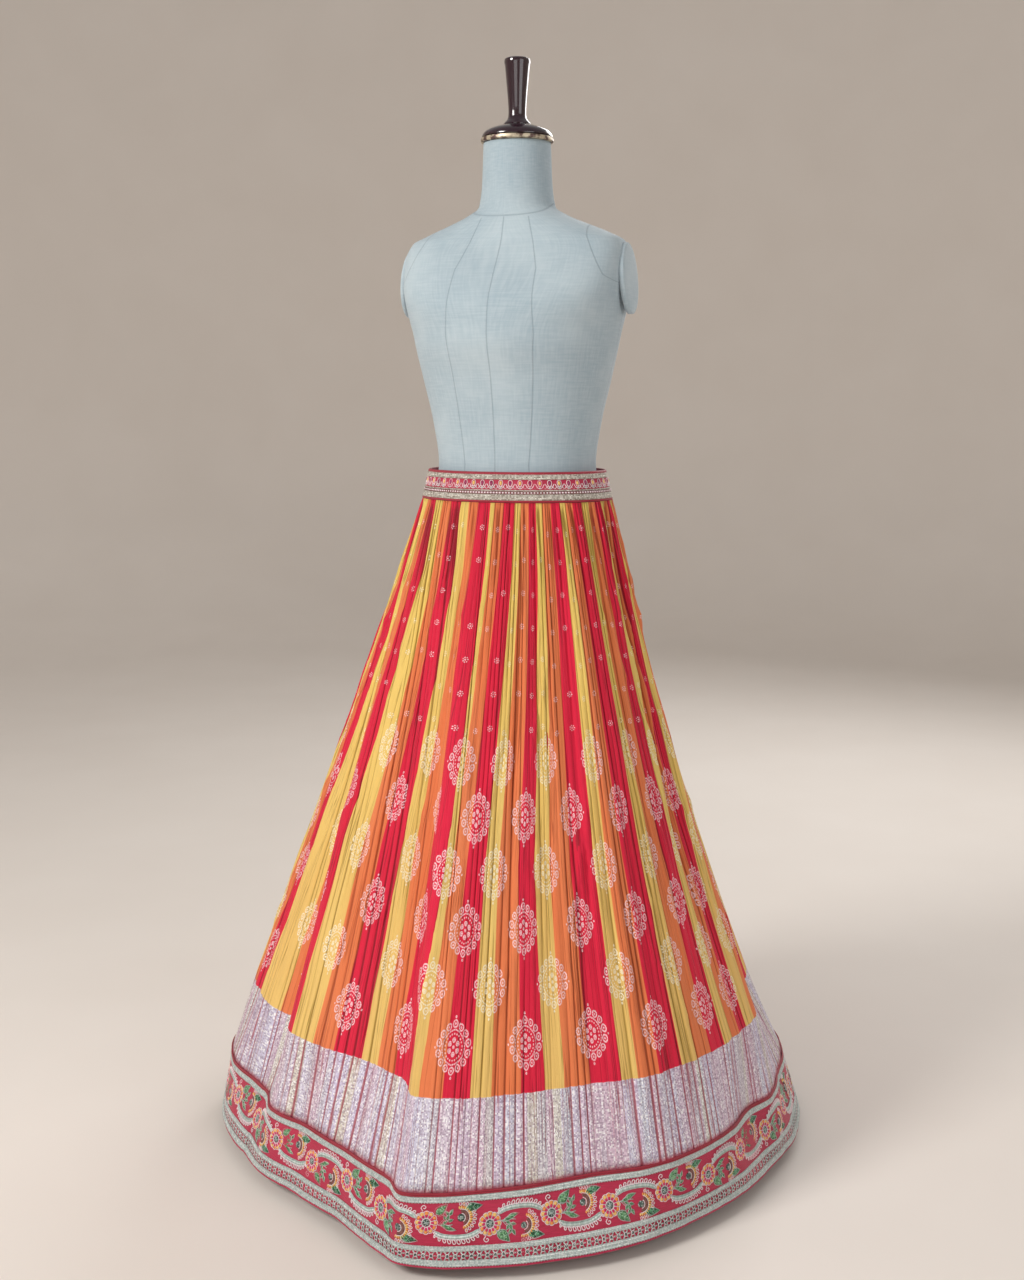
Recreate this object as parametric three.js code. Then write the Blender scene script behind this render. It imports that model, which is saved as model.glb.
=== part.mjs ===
// Lehenga skirt worn by a limbless dress form on a plain stand.
// Millimetres, +Z up, the front of the form faces -Y, floor at z = 0.
import * as THREE from "three";

// ---------------------------------------------------------------- sizes
const seam = 0.3;              // gap left between sewn pieces
const clothWall = 2;           // pleated silk with its lining
const borderWall = 2.6;        // stiffened border band
const trimLift = 0.8;          // a braid's clearance over the band
const braidWall = 1.4;

const waist = {
  topZ: 1018, bottomZ: 975, wall: 3,
  top: { halfWidth: 132.5, halfDepth: 102 },
  bottom: { halfWidth: 143, halfDepth: 110 },
  segments: 16,
};
const skirt = {
  topZ: waist.bottomZ - seam,
  silverZ: 222,                // top of the woven silver band
  bottomZ: 112.3,              // lower edge of the panels
  stripeSets: 24, setsPerPanel: 3, columnsPerSet: 4,
};
const hem = { z: 18 };

// Heights of the sewn-on pieces of the border, top and bottom edge.
const border = { topZ: 108.1, bottomZ: 21.9 };
const trims = {
  border_piping: { topZ: 112, bottomZ: 108.4, cord: true },
  border_braid_upper: { topZ: 108.1, bottomZ: 100.6 },
  border_braid_lower: { topZ: 46.4, bottomZ: 40.4 },
  hem_braid: { topZ: 29.3, bottomZ: 21.9 },
  hem_piping: { topZ: 21.6, bottomZ: hem.z, cord: true },
};
const borderRows = [border.topZ, 100.4, 46.5, 34.8, border.bottomZ];
const borderSeams = [1, 8, 13, 19, 25];        // in stripe sets

// Where each stripe set starts, degrees from the front (-Y) towards +X.
const stripeTable = {
  columns: ["waist", "hem"],
  rows: [
    [-68, -48], [-51, -30], [-30, -11.5], [-7, 3], [15, 12], [30, 24],
    [44, 37], [57, 50.5], [70, 64], [83, 78], [96, 92.5], [109, 108],
    [123, 124], [137, 140], [151, 156], [165, 172], [179, 188], [193, 204],
    [207, 220], [221, 236], [235, 252], [249, 268], [263, 284], [277, 298],
  ],
};

// The large flutes: distance from the axis at three heights, and how far
// the cloth falls in behind a straight line half way up.
const foldTable = {
  columns: ["angle", "silver", "border", "hem", "fallIn"],
  rows: [
    [-76, 412, 450, 466, 0],
    [-64, 397, 438, 458, 0],
    [-52, 377, 406, 444, 4],
    [-46, 361, 399, 436, 6],
    [-39, 380, 411, 434, 0],
    [-28, 371, 396, 422, 4],
    [-17, 361, 404, 426, 8],
    [-8, 371, 424, 450, 6],
    [-2, 388, 444, 474, 9],
    [2, 428, 474, 488, 0],
    [8, 421, 463, 484, 0],
    [16, 407, 444, 472, 0],
    [25, 391, 426, 460, 2],
    [35, 382, 412, 450, 4],
    [46, 388, 418, 440, 4],
    [56, 384, 413, 430, 8],
    [68, 380, 404, 426, 14],
    [77, 376, 392, 424, 20],
    [86, 380, 407, 428, 12],
    [96, 362, 404, 438, 16],
    [106, 352, 412, 442, 18],
    [120, 370, 418, 448, 12],
    [132, 356, 396, 430, 14],
    [144, 384, 416, 440, 4],
    [157, 398, 436, 464, 0],
    [168, 368, 402, 436, 10],
    [180, 386, 420, 446, 4],
    [192, 404, 442, 470, 0],
    [201, 374, 406, 444, 10],
    [213, 392, 424, 450, 2],
    [226, 368, 402, 434, 8],
    [237, 390, 428, 456, 2],
    [249, 406, 444, 470, 0],
    [260, 374, 406, 442, 10],
    [272, 394, 430, 452, 2],
  ],
};

// Rows of each panel: height and depth of the pressed pleats there.
const panelTable = {
  columns: ["z", "pleat"],
  rows: [
    [skirt.topZ, 0], [915, 2.6], [800, 2.6], [620, 2.8], [420, 3],
    [skirt.silverZ, 2.6], [skirt.bottomZ, 0],
  ],
};

// Dress form: half width, depth in front, depth behind, squareness.
const formTable = {
  columns: ["z", "halfWidth", "front", "back", "power"],
  rows: [
    [800, 147, 104, 112, 2.2],
    [850, 150, 108, 116, 2.2],
    [915, 142, 103, 110, 2.2],
    [980, 125, 95, 97, 2.1],
    [1028, 118.5, 92, 91, 2.1],
    [1085, 126, 97, 96, 2.1],
    [1150, 141, 109, 104, 2.1],
    [1210, 154, 125, 108, 2.1],
    [1250, 161, 121, 110, 2.5],
    [1290, 166, 100, 108, 2.9],
    [1322, 166, 78, 97, 3],
    [1344, 158, 65, 83, 2.8],
    [1356, 136, 61, 74, 2.3],
    [1368, 106, 57, 66, 2.2],
    [1380, 77, 54, 60, 2.1],
    [1394, 56, 51, 55, 2],
    [1425, 51, 49, 51, 2],
    [1483, 48.5, 48, 48.5, 2],
  ],
};
const formSides = 36;
const armPlate = { z: 1290, x: 169.2, halfHeight: 50, halfDepth: 38, thick: 4, lean: 4 };
const cap = {
  rim: [[49, 1483.4], [52.4, 1484.6], [52.4, 1489.6], [49, 1490.4]],
  dome: [[50.6, 1490.8], [50, 1495], [44, 1500.5], [33, 1505], [20, 1508]],
  finial: [
    [19.4, 1508.4], [19.2, 1511], [15, 1515], [12.6, 1520], [12.8, 1530],
    [14.6, 1556], [17.8, 1590], [18.6, 1597], [16.4, 1600],
  ],
};
const pole = { radius: 16, topZ: 799.6, bottomZ: 15, sides: 24 };
const base = { radius: 215, rimZ: 9, topZ: 14, sides: 48 };

// ---------------------------------------------------------------- curves
const radians = (degrees) => (degrees * Math.PI) / 180;

function readTable(table) {
  return table.rows.map((row) => Object.fromEntries(table.columns.map((name, i) => [name, row[i]])));
}

const stripes = readTable(stripeTable);
const folds = readTable(foldTable);

// Angle of the cloth at a place u, counted in stripe sets round the skirt.
function stripeAngle(u, name) {
  const count = stripes.length;
  const k = Math.floor(u);
  const t = u - k;
  const at = (i) => stripes[((i % count) + count) % count][name] + 360 * Math.floor(i / count);
  const [a, b, c, d] = [at(k - 1), at(k), at(k + 1), at(k + 2)];
  return b + 0.5 * t * (c - a + t * (2 * a - 5 * b + 4 * c - d + t * (3 * (b - c) + d - a)));
}

// A value of the fold table at an angle, with no overshoot between rows.
function foldValue(angle, name) {
  const count = folds.length;
  const first = folds[0].angle;
  const turned = first + ((((angle - first) % 360) + 360) % 360);
  let k = count - 1;
  while (folds[k].angle > turned) k -= 1;
  const x = (i) => folds[((i % count) + count) % count].angle + 360 * Math.floor(i / count);
  const y = (i) => folds[((i % count) + count) % count][name];
  const rise = (i) => (y(i + 1) - y(i)) / (x(i + 1) - x(i));
  const slope = (i) => {
    const [p, q] = [rise(i - 1), rise(i)];
    return p * q <= 0 ? 0 : (2 * p * q) / (p + q);
  };
  const width = x(k + 1) - x(k);
  const t = (turned - x(k)) / width;
  const [t2, t3] = [t * t, t * t * t];
  return y(k) * (2 * t3 - 3 * t2 + 1) + slope(k) * width * (t3 - 2 * t2 + t)
    + y(k + 1) * (3 * t2 - 2 * t3) + slope(k + 1) * width * (t3 - t2);
}

function polar(radius, angle) {
  return new THREE.Vector2(radius * Math.sin(radians(angle)), -radius * Math.cos(radians(angle)));
}

function ellipsePoint(size, angle) {
  const s = Math.sin(radians(angle)) / size.halfWidth;
  const c = Math.cos(radians(angle)) / size.halfDepth;
  return polar(1 / Math.hypot(s, c), angle);
}

const panelRows = readTable(panelTable);

function pleatDepth(z) {
  for (let i = 0; i + 1 < panelRows.length; i += 1) {
    const [upper, lower] = [panelRows[i], panelRows[i + 1]];
    if (z <= upper.z && z >= lower.z) {
      return THREE.MathUtils.mapLinear(z, upper.z, lower.z, upper.pleat, lower.pleat);
    }
  }
  return 0;
}

// Middle line of the cloth at place u and height z.
function clothPoint(u, z) {
  const angle = stripeAngle(u, "hem");
  const ring = { silver: skirt.silverZ, border: 112, hem: hem.z };
  const at = (name) => polar(foldValue(angle, name), angle);
  let point;
  if (z >= ring.silver) {
    const t = (skirt.topZ - z) / (skirt.topZ - ring.silver);
    const top = ellipsePoint(waist.bottom, stripeAngle(u, "waist"));
    point = top.lerp(at("silver"), t);
    const inward = foldValue(angle, "fallIn") * 4 * t * (1 - t);
    point.multiplyScalar(1 - inward / point.length());
  } else if (z >= ring.border) {
    point = at("silver").lerp(at("border"), (ring.silver - z) / (ring.silver - ring.border));
  } else {
    point = at("border").lerp(at("hem"), (ring.border - z) / (ring.border - ring.hem));
  }
  const pleat = pleatDepth(z) * Math.cos(4 * Math.PI * u);
  return point.multiplyScalar(1 + pleat / point.length());
}

// The cloth moved out (or in, below 0) square to its own ring.
function clothOffset(u, z, out) {
  const step = 1 / skirt.columnsPerSet;
  const run = clothPoint(u + step, z).sub(clothPoint(u - step, z)).normalize();
  const point = clothPoint(u, z);
  return new THREE.Vector3(point.x + run.y * out, point.y - run.x * out, z);
}

// ---------------------------------------------------------------- solids
function solid(points, faces) {
  const geometry = new THREE.BufferGeometry();
  geometry.setAttribute("position", new THREE.Float32BufferAttribute(points.flatMap((p) => [p.x, p.y, p.z]), 3));
  geometry.setIndex(faces.flat());
  geometry.computeVertexNormals();
  return geometry;
}

// A bar that runs along rings[i]: each ring is one closed cross-section.
function sweep(rings, closed = false) {
  const size = rings[0].length;
  const faces = [];
  const last = closed ? rings.length : rings.length - 1;
  for (let i = 0; i < last; i += 1) {
    const here = i * size;
    const next = ((i + 1) % rings.length) * size;
    for (let j = 0; j < size; j += 1) {
      const k = (j + 1) % size;
      faces.push([here + j, next + k, next + j], [here + j, here + k, next + k]);
    }
  }
  if (!closed) {
    const end = (rings.length - 1) * size;
    for (let j = 0; j + 1 < size / 2; j += 1) {
      const k = size - 1 - j;
      faces.push([j, k, j + 1], [j + 1, k, k - 1]);
      faces.push([end + j, end + j + 1, end + k], [end + j + 1, end + k - 1, end + k]);
    }
  }
  return solid(rings.flat(), faces);
}

// A wall of cloth between two places, its rows running from top to bottom.
function clothWallSolid(from, to, heights, outer, inner) {
  const count = Math.round((to - from) * skirt.columnsPerSet);
  const rings = [];
  for (let i = 0; i <= count; i += 1) {
    const u = seamPlace(from, to, i, count);
    const out = heights.map((z) => clothOffset(u, z, outer));
    const back = heights.map((z) => clothOffset(u, z, inner)).reverse();
    rings.push([...out, ...back]);
  }
  return sweep(rings);
}

// Column i of a piece, its ends drawn back by half a seam.
function seamPlace(from, to, i, count) {
  const u = from + ((to - from) * i) / count;
  const shrink = seam / 2 / (2 * Math.PI * 24);   // at the narrow end, the seam is just open
  if (i === 0) return u + shrink;
  if (i === count) return u - shrink;
  return u;
}

// A round cord on the edge of the cloth, as a four-sided bar.
function cordSolid(from, to, { topZ, bottomZ }) {
  const count = Math.round((to - from) * skirt.columnsPerSet);
  const middle = (topZ + bottomZ) / 2;
  const rings = [];
  for (let i = 0; i <= count; i += 1) {
    const u = seamPlace(from, to, i, count);
    rings.push([
      clothOffset(u, topZ, 0), clothOffset(u, middle, 2.4),
      clothOffset(u, bottomZ, 0), clothOffset(u, middle, -2.4),
    ]);
  }
  return sweep(rings);
}

// Half of the waistband, or a braid on it, between two angles.
function bandSolid(from, to, topZ, bottomZ, outer, inner) {
  const rings = [];
  for (let i = 0; i <= waist.segments; i += 1) {
    const trimmed = i === 0 ? 0.06 : i === waist.segments ? -0.06 : 0;
    const angle = from + ((to - from) * i) / waist.segments + trimmed;
    const at = (z, out) => {
      const t = (waist.topZ - z) / (waist.topZ - waist.bottomZ);
      const size = {
        halfWidth: THREE.MathUtils.lerp(waist.top.halfWidth, waist.bottom.halfWidth, t) + out,
        halfDepth: THREE.MathUtils.lerp(waist.top.halfDepth, waist.bottom.halfDepth, t) + out,
      };
      const p = ellipsePoint(size, angle);
      return new THREE.Vector3(p.x, p.y, z);
    };
    rings.push([at(topZ, outer), at(bottomZ, outer), at(bottomZ, inner), at(topZ, inner)]);
  }
  return sweep(rings);
}

// A solid of closed sections, stacked from bottom to top.
function stack(sections) {
  const size = sections[0].length;
  const points = sections.flat();
  const faces = [];
  for (let i = 0; i + 1 < sections.length; i += 1) {
    for (let j = 0; j < size; j += 1) {
      const k = (j + 1) % size;
      const [a, b] = [i * size, (i + 1) * size];
      faces.push([a + j, a + k, b + k], [a + j, b + k, b + j]);
    }
  }
  const end = (sections.length - 1) * size;
  for (let j = 1; j + 1 < size; j += 1) {
    faces.push([0, j + 1, j], [end, end + j, end + j + 1]);
  }
  return solid(points, faces);
}

function turned(profile, sides) {
  return stack(profile.map(([radius, z]) => Array.from({ length: sides }, (_, i) => {
    const angle = (2 * Math.PI * i) / sides;
    return new THREE.Vector3(radius * Math.cos(angle), radius * Math.sin(angle), z);
  })));
}

// ---------------------------------------------------------------- colours
const finish = (color, roughness, metalness = 0) => new THREE.MeshStandardMaterial({ color, roughness, metalness });
const silk = finish(0xe58a45, 0.62);
const crimson = finish(0xbe193c, 0.6);
const silver = finish(0xc6c4bb, 0.42, 0.5);
const maroon = finish(0x8c1030, 0.6);
const formCloth = finish(0xafbcc6, 0.85);
const cream = finish(0xc9bfa6, 0.5);
const lacquer = finish(0x2a0d10, 0.18);
const paintedSteel = finish(0x2b2b2d, 0.45, 0.3);

const skirtGroup = new THREE.Group();
skirtGroup.name = "lehenga_skirt";
const formGroup = new THREE.Group();
formGroup.name = "dress_form";

function add(group, name, geometry, material) {
  const mesh = new THREE.Mesh(geometry, material);
  mesh.name = name;
  group.add(mesh);
  return mesh;
}

// ---------------------------------------------------------------- skirt
const panelHeights = panelRows.map((row) => row.z);
for (let i = 0; i * skirt.setsPerPanel < skirt.stripeSets; i += 1) {
  const from = i * skirt.setsPerPanel;
  const wall = clothWallSolid(from, from + skirt.setsPerPanel, panelHeights, clothWall / 2, -clothWall / 2);
  add(skirtGroup, `skirt_panel_${i + 1}`, wall, silk);
}

for (let i = 0; i + 1 < borderSeams.length; i += 1) {
  const [from, to] = [borderSeams[i], borderSeams[i + 1]];
  const face = borderWall / 2;
  add(skirtGroup, `border_band_${i + 1}`, clothWallSolid(from, to, borderRows, face, -face), crimson);
  for (const [name, trim] of Object.entries(trims)) {
    const heights = [trim.topZ, trim.bottomZ];
    const geometry = trim.cord
      ? cordSolid(from, to, trim)
      : clothWallSolid(from, to, heights, face + trimLift + braidWall, face + trimLift);
    const material = { border_piping: maroon, hem_piping: crimson }[name] ?? silver;
    add(skirtGroup, `${name}_${i + 1}`, geometry, material);
  }
}

for (const [side, from] of [["front", -90], ["back", 90]]) {
  const to = from + 180;
  const half = waist.wall / 2;
  add(skirtGroup, `waistband_${side}`, bandSolid(from, to, waist.topZ, waist.bottomZ, half, -half), crimson);
  for (const [name, topZ, bottomZ] of [["upper", 1014.5, 1007.5], ["lower", 993.5, 977.5]]) {
    const braid = bandSolid(from, to, topZ, bottomZ, half + seam + braidWall, half + seam);
    add(skirtGroup, `waist_braid_${name}_${side}`, braid, silver);
  }
}

// ---------------------------------------------------------------- dress form
function formSection({ z, halfWidth, front, back, power }) {
  return Array.from({ length: formSides }, (_, i) => {
    const angle = (2 * Math.PI * i) / formSides;
    const [c, s] = [Math.cos(angle), Math.sin(angle)];
    const depth = s < 0 ? front : back;
    const round = (value) => Math.sign(value) * Math.abs(value) ** (2 / power);
    return new THREE.Vector3(halfWidth * round(c), depth * round(s), z);
  });
}
add(formGroup, "form_torso", stack(readTable(formTable).map(formSection)), formCloth);

for (const [side, sign] of [["left", 1], ["right", -1]]) {
  const disc = (x) => Array.from({ length: 28 }, (_, i) => {
    const angle = (2 * Math.PI * i * sign) / 28;
    const up = armPlate.halfHeight * Math.sin(angle);
    const lean = (armPlate.lean * up) / armPlate.halfHeight;
    return new THREE.Vector3(sign * (x - lean), armPlate.halfDepth * Math.cos(angle) + 4, armPlate.z + up);
  });
  const plate = stack([disc(armPlate.x), disc(armPlate.x + armPlate.thick)]);
  add(formGroup, `form_arm_plate_${side}`, plate, formCloth);
}

add(formGroup, "form_cap_rim", turned(cap.rim, 36), cream);
add(formGroup, "form_neck_cap", turned(cap.dome, 36), lacquer);
add(formGroup, "form_finial", turned(cap.finial, 24), lacquer);
add(formGroup, "stand_pole", turned([[pole.radius, pole.bottomZ], [pole.radius, pole.topZ]], pole.sides), paintedSteel);

const footProfile = [[base.radius - 4, 0], [base.radius, 3], [base.radius, base.rimZ], [base.radius - 6, base.topZ]];
add(formGroup, "stand_base", turned(footProfile, base.sides), paintedSteel);

const scene = new THREE.Group();
scene.name = "lehenga_skirt_on_dress_form";
scene.add(skirtGroup, formGroup);

export default scene;
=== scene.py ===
import math

import bpy
import numpy as np
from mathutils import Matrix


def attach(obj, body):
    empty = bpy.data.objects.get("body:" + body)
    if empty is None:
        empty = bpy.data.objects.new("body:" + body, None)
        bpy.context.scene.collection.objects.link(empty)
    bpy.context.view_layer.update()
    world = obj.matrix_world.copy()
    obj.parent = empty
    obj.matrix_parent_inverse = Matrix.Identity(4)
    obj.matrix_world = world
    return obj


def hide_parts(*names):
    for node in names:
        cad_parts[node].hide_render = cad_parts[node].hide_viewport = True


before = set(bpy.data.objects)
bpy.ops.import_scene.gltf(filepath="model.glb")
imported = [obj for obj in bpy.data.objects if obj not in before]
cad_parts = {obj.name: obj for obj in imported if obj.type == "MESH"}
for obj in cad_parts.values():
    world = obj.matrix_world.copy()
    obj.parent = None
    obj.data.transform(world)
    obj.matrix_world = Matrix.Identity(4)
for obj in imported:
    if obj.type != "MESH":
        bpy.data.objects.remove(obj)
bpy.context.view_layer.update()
print("frame loaded")


# ---- camera
cameraPlace = {"distance": 2.3, "height": 1.126, "azimuth": 20.0, "tilt": 9.034, "pan": 0.186, "lens": 43.34}


def addCamera(place):
    turn = math.radians(place["azimuth"])
    data = bpy.data.cameras.new("camera")
    data.lens = place["lens"]
    data.sensor_width = 36
    camera = bpy.data.objects.new("camera", data)
    distance = place["distance"]
    camera.location = (distance * math.sin(turn), -distance * math.cos(turn), place["height"])
    camera.rotation_euler = (math.radians(90 - place["tilt"]), 0, turn + math.radians(place["pan"]))
    bpy.context.scene.collection.objects.link(camera)
    bpy.context.scene.camera = camera


addCamera(cameraPlace)


# ---- tables of the cloth, in millimetres and degrees
stripeAngles = np.array([
    [-68, -48], [-51, -30], [-30, -11.5], [-7, 3], [15, 12], [30, 24],
    [44, 37], [57, 50.5], [70, 64], [83, 78], [96, 92.5], [109, 108],
    [123, 124], [137, 140], [151, 156], [165, 172], [179, 188], [193, 204],
    [207, 220], [221, 236], [235, 252], [249, 268], [263, 284], [277, 298]], float)
foldRows = np.array([
    [-76, 412, 450, 466, 0], [-64, 397, 438, 458, 0], [-52, 377, 406, 444, 4],
    [-46, 361, 399, 436, 6], [-39, 380, 411, 434, 0], [-28, 371, 396, 422, 4],
    [-17, 361, 404, 426, 8], [-8, 371, 424, 450, 6], [-2, 388, 444, 474, 9],
    [2, 428, 474, 488, 0], [8, 421, 463, 484, 0], [16, 407, 444, 472, 0],
    [25, 391, 426, 460, 2], [35, 382, 412, 450, 4], [46, 388, 418, 440, 4],
    [56, 384, 413, 430, 8], [68, 380, 404, 426, 14], [77, 376, 392, 424, 20],
    [86, 380, 407, 428, 12], [96, 362, 404, 438, 16], [106, 352, 412, 442, 18],
    [120, 370, 418, 448, 12], [132, 356, 396, 430, 14], [144, 384, 416, 440, 4],
    [157, 398, 436, 464, 0], [168, 368, 402, 436, 10], [180, 386, 420, 446, 4],
    [192, 404, 442, 470, 0], [201, 374, 406, 444, 10], [213, 392, 424, 450, 2],
    [226, 368, 402, 434, 8], [237, 390, 428, 456, 2], [249, 406, 444, 470, 0],
    [260, 374, 406, 442, 10], [272, 394, 430, 452, 2]], float)
levels = {"waistTop": 1018.0, "waistBottom": 975.0, "skirtTop": 974.7, "silver": 222.0,
          "skirtBottom": 112.3, "border": 112.0, "hem": 18.0}
waistSize = {"top": (132.5, 102.0), "bottom": (143.0, 110.0)}
stripeSets = 24


def spline(a, b, c, d, t):
    return b + 0.5 * t * (c - a + t * (2 * a - 5 * b + 4 * c - d + t * (3 * (b - c) + d - a)))


def stripeAngle(u, column):
    k = np.floor(u).astype(int)
    t = u - k

    def at(i):
        return stripeAngles[i % stripeSets, column] + 360.0 * (i // stripeSets)
    return spline(at(k - 1), at(k), at(k + 1), at(k + 2), t)


def monotone(x, y, at):
    rise = np.diff(y) / np.diff(x)
    p, q = rise[:-1], rise[1:]
    inner = np.where(p * q <= 0, 0, 2 * p * q / np.where(p + q == 0, 1, p + q))
    slope = np.concatenate([[rise[0]], inner, [rise[-1]]])
    k = np.clip(np.searchsorted(x, at, side="right") - 1, 0, len(x) - 2)
    width = x[k + 1] - x[k]
    t = (at - x[k]) / width
    return (y[k] * (2 * t**3 - 3 * t**2 + 1) + slope[k] * width * (t**3 - 2 * t**2 + t)
            + y[k + 1] * (3 * t**2 - 2 * t**3) + slope[k + 1] * width * (t**3 - t**2))


def foldValue(angle, column):
    first = foldRows[0, 0]
    turned = first + np.mod(angle - first, 360.0)
    x = np.concatenate([foldRows[-3:, 0] - 360, foldRows[:, 0], foldRows[:3, 0] + 360])
    y = np.concatenate([foldRows[-3:, column], foldRows[:, column], foldRows[:3, column]])
    return monotone(x, y, turned)


def polar(radius, angle):
    a = np.radians(angle)
    return np.stack([radius * np.sin(a), -radius * np.cos(a)], -1)


def ellipse(size, angle):
    a = np.radians(angle)
    return polar(1 / np.hypot(np.sin(a) / size[0], np.cos(a) / size[1]), angle)


def clothRing(u, z):
    angle = stripeAngle(u, 1)
    silver, border, hem = (polar(foldValue(angle, column), angle) for column in (1, 2, 3))
    if z >= levels["silver"]:
        t = (levels["skirtTop"] - z) / (levels["skirtTop"] - levels["silver"])
        point = ellipse(waistSize["bottom"], stripeAngle(u, 0)) * (1 - t) + silver * t
        inward = foldValue(angle, 4) * 4 * t * (1 - t)
        return point * (1 - inward / np.hypot(*point.T))[:, None]
    if z >= levels["border"]:
        t = (levels["silver"] - z) / (levels["silver"] - levels["border"])
        return silver * (1 - t) + border * t
    t = (levels["border"] - z) / (levels["border"] - levels["hem"])
    return border * (1 - t) + hem * t


def outwards(ring):
    run = np.roll(ring, -1, 0) - np.roll(ring, 1, 0)
    run /= np.hypot(*run.T)[:, None]
    return np.stack([run[:, 1], -run[:, 0]], -1)


def noise1(x, seed):
    k = np.floor(x).astype(int)
    t = x - k
    t = t * t * (3 - 2 * t)

    def value(i):
        h = np.sin(i * 127.1 + seed * 311.7) * 43758.5453
        return h - np.floor(h)
    return value(k) * (1 - t) + value(k + 1) * t


# ---- mesh making
def addMesh(name, points, faces, uv, materials, faceMaterial=None, attributes=None, moreUv=None):
    # points in millimetres; uv has a row for each point or for each corner of each face
    mesh = bpy.data.meshes.new(name)
    points = np.asarray(points, float) / 1000.0
    sizes = np.array([len(face) for face in faces])
    flat = np.concatenate(faces)
    mesh.vertices.add(len(points))
    mesh.vertices.foreach_set("co", points.astype(np.float32).ravel())
    mesh.loops.add(len(flat))
    mesh.loops.foreach_set("vertex_index", flat.astype(np.int32))
    mesh.polygons.add(len(sizes))
    starts = np.concatenate([[0], np.cumsum(sizes)[:-1]])
    mesh.polygons.foreach_set("loop_start", starts.astype(np.int32))
    mesh.polygons.foreach_set("use_smooth", np.full(len(sizes), True))
    for material in materials:
        mesh.materials.append(material)
    if faceMaterial is not None:
        mesh.polygons.foreach_set("material_index", np.asarray(faceMaterial, np.int32))
    if uv is not None:
        uv = uv if uv.size == 2 * len(flat) else uv[flat]
        for key, values in {"cloth": uv, **(moreUv or {})}.items():
            layer = mesh.uv_layers.new(name=key)
            layer.data.foreach_set("uv", np.asarray(values, np.float32).ravel())
    for key, values in (attributes or {}).items():
        layer = mesh.attributes.new(key, "FLOAT", "POINT")
        layer.data.foreach_set("value", np.asarray(values, np.float32))
    mesh.update(calc_edges=True)
    mesh.validate()
    piece = bpy.data.objects.new(name, mesh)
    bpy.context.scene.collection.objects.link(piece)
    return piece


class Parts:
    # collects many small shapes into one mesh
    def __init__(self):
        self.points, self.faces, self.uv, self.kind, self.count = [], [], [], [], 0

    def add(self, shape, kind=0):
        points, faces, uv = shape
        if uv.ndim == 2:
            uv = uv[faces]
        if faces.shape[1] == 4:      # quads to triangles, without the empty ones
            uv = np.concatenate([uv[:, [0, 1, 2]], uv[:, [0, 2, 3]]])
            faces = np.concatenate([faces[:, [0, 1, 2]], faces[:, [0, 2, 3]]])
        real = (faces[:, 0] != faces[:, 1]) & (faces[:, 1] != faces[:, 2]) & (faces[:, 0] != faces[:, 2])
        self.points.append(points)
        self.faces.append(faces[real] + self.count)
        self.uv.append(uv[real])
        self.kind.append(np.full(int(real.sum()), kind))
        self.count += len(points)

    def build(self, name, materials):
        points, faces, uv, kind = map(np.concatenate, (self.points, self.faces, self.uv, self.kind))
        return addMesh(name, points, faces, uv, materials, kind)


class Band:
    # a strip of cloth round the object: place() puts a flat chart on it
    def __init__(self, lower, upper, zLow, zHigh, base):
        self.lower, self.upper, self.base = lower, upper, base
        middle = (lower + upper) / 2
        self.out = outwards(middle)
        step = np.hypot(*(np.roll(middle, -1, 0) - middle).T)
        self.along = np.concatenate([[0], np.cumsum(step)])
        self.length = self.along[-1]
        self.zLow, self.zHigh = zLow, zHigh

    def column(self, values, x):
        closed = np.concatenate([values, values[:1]])
        x = np.mod(x, self.length)
        return np.stack([np.interp(x, self.along, closed[:, i]) for i in range(2)], -1)

    def place(self, x, z, lift):
        x, z, lift = np.broadcast_arrays(*(np.asarray(v, float) for v in (x, z, lift)))
        t = ((z - self.zLow) / (self.zHigh - self.zLow))[..., None]
        flat = self.column(self.lower, x) * (1 - t) + self.column(self.upper, x) * t
        flat = flat + self.column(self.out, x) * (self.base + lift[..., None])
        return np.concatenate([flat, z[..., None]], -1)


def gridFaces(columns, size, around=True, down=True, flip=False):
    # the quads of a grid of points that may close on itself both ways
    i, j = np.arange(columns - (not around))[:, None], np.arange(size - (not down))[None, :]
    nextI, nextJ = (i + 1) % columns, (j + 1) % size
    corners = (i * size + j, i * size + nextJ, nextI * size + nextJ, nextI * size + j)
    faces = np.stack(np.broadcast_arrays(*corners), -1).reshape(-1, 4)
    return faces[:, [0, 3, 2, 1]] if flip else faces


def pathLength(path):
    return np.concatenate([[0], np.cumsum(np.hypot(*np.diff(path, axis=0).T))])


def sweepBand(band, profile, columns, wave):
    # profile: closed outline of (lift, z); wave moves it along the band
    profile = np.array(profile, float)
    step = band.length / columns
    x = (step * np.arange(columns))[:, None]
    dLift, dz = wave(x, profile[None, :, 0], profile[None, :, 1])
    points = band.place(x, profile[None, :, 1] + dz, profile[None, :, 0] + dLift).reshape(-1, 3)
    faces = gridFaces(columns, len(profile))
    first = faces[:, :1] // len(profile) * step
    u = np.concatenate([first, first, first + step, first + step], 1)
    return points, faces, np.stack([u, pathLength(profile)[faces % len(profile)]], -1)


def sweepPiece(name, band, profile, columns, material, wave):
    return addMesh(name, *sweepBand(band, profile, columns, wave), [material])


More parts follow.
